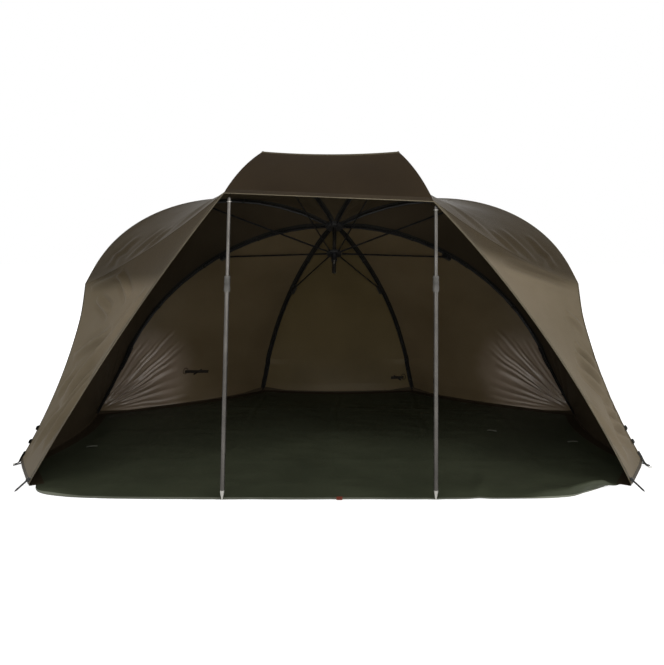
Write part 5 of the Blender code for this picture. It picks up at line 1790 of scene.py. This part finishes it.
def make_floor():
    """A pale floor that fades to white away from the part and keeps the part's shadow."""
    mesh = bpy.data.meshes.new("floor")
    ticks = [-FLOOR_REACH + 2 * FLOOR_REACH * i / FLOOR_STEPS for i in range(FLOOR_STEPS + 1)]
    vertices = [(x, y, 0.0) for y in ticks for x in ticks]
    faces = []
    for j in range(FLOOR_STEPS):
        for i in range(FLOOR_STEPS):
            a = j * len(ticks) + i
            faces.append((a, a + 1, a + len(ticks) + 1, a + len(ticks)))
    mesh.from_pydata(vertices, [], faces)
    floor = bpy.data.objects.new("floor", mesh)
    bpy.context.scene.collection.objects.link(floor)
    look = bpy.data.materials.new("pale_floor")
    look.use_nodes = True
    look.node_tree.nodes.clear()
    nodes = Nodes(look.node_tree)
    away = nodes.vector("LENGTH", nodes.place())
    glow = nodes.smooth(away, FLOOR_NEAR, FLOOR_FAR, *FLOOR_GLOW)
    diffuse = nodes.node("ShaderNodeBsdfDiffuse", Color=FLOOR_COLOUR)
    shine = nodes.node("ShaderNodeEmission", Strength=nodes.math("MULTIPLY", nodes.seen_directly(), glow))
    total = nodes.node("ShaderNodeAddShader")
    nodes.join(diffuse.outputs["BSDF"], total.inputs[0])
    nodes.join(shine.outputs["Emission"], total.inputs[1])
    nodes.node("ShaderNodeOutputMaterial", Surface=total.outputs["Shader"])
    mesh.materials.append(look)


def make_world():
    """White as the camera sees it, and a soft light for everything else."""
    world = bpy.data.worlds.new("studio")
    bpy.context.scene.world = world
    world.use_nodes = True
    world.node_tree.nodes.clear()
    nodes = Nodes(world.node_tree)
    mix = nodes.node("ShaderNodeMixShader", Fac=nodes.seen_directly())
    for socket, strength in zip(mix.inputs[1:], (WORLD_LIGHT, 1.0)):
        light = nodes.node("ShaderNodeBackground", Color=(1, 1, 1, 1), Strength=strength)
        nodes.join(light.outputs["Background"], socket)
    nodes.node("ShaderNodeOutputWorld", Surface=mix.outputs["Shader"])


def area_light(name, place, target, size, watts):
    data = bpy.data.lights.new(name, "AREA")
    data.shape = "RECTANGLE"
    data.size, data.size_y = size
    data.energy = watts
    obj = bpy.data.objects.new(name, data)
    bpy.context.scene.collection.objects.link(obj)
    obj.location = place
    aim = Vector(target) - Vector(place)
    obj.rotation_euler = aim.to_track_quat("-Z", "Y").to_euler()


# The photograph is 664 pixels wide; the focal length and centre are fitted to it, in pixels
PHOTO_WIDTH, PHOTO_HEIGHT = 664, 665
FOCAL_PIXELS = 684
CENTRE_PIXEL = (350.6, 222.0)
CAMERA_PLACE = (0.0863, POST_Y - 2.73, 1.11)


def make_camera():
    data = bpy.data.cameras.new("photo_camera")
    data.sensor_fit = "HORIZONTAL"
    data.sensor_width = 36.0
    data.lens = data.sensor_width * FOCAL_PIXELS / PHOTO_WIDTH
    data.shift_x = (PHOTO_WIDTH / 2 - CENTRE_PIXEL[0]) / PHOTO_WIDTH
    data.shift_y = (CENTRE_PIXEL[1] - PHOTO_HEIGHT / 2) / PHOTO_WIDTH
    camera = bpy.data.objects.new("photo_camera", data)
    bpy.context.scene.collection.objects.link(camera)
    camera.location = CAMERA_PLACE
    camera.rotation_euler = (math.pi / 2, 0, 0)
    bpy.context.scene.camera = camera


make_floor()
make_world()
make_camera()
# Name, place, target, width and height, watts
LIGHTS = (
    ("low_front", (0, -6.5, 0.9), (0, 0, 0.3), (3.0, 0.8), 110),
    ("left_front", (-5.2, -3.8, 1.8), (-0.6, -0.5, 0.5), (2.0, 1.4), 22),
    ("right_front", (5.2, -3.8, 1.8), (0.6, -0.5, 0.5), (2.0, 1.4), 76),
    ("entrance", (0.2, -2.6, 3.5), (0, -0.8, 0.0), (3.2, 1.0), 55),
    ("left_side", (-5.8, -1.2, 0.8), (0, 0, 0.3), (3.0, 0.8), 30),
    ("right_side", (5.8, -1.2, 0.8), (0, 0, 0.3), (3.0, 0.8), 45),
    ("back", (0, 5.5, 2.6), (0, 0, 0.6), (4.0, 2.5), 120),
)
for light in LIGHTS:
    area_light(*light)

bpy.context.scene.view_settings.view_transform = "Standard"
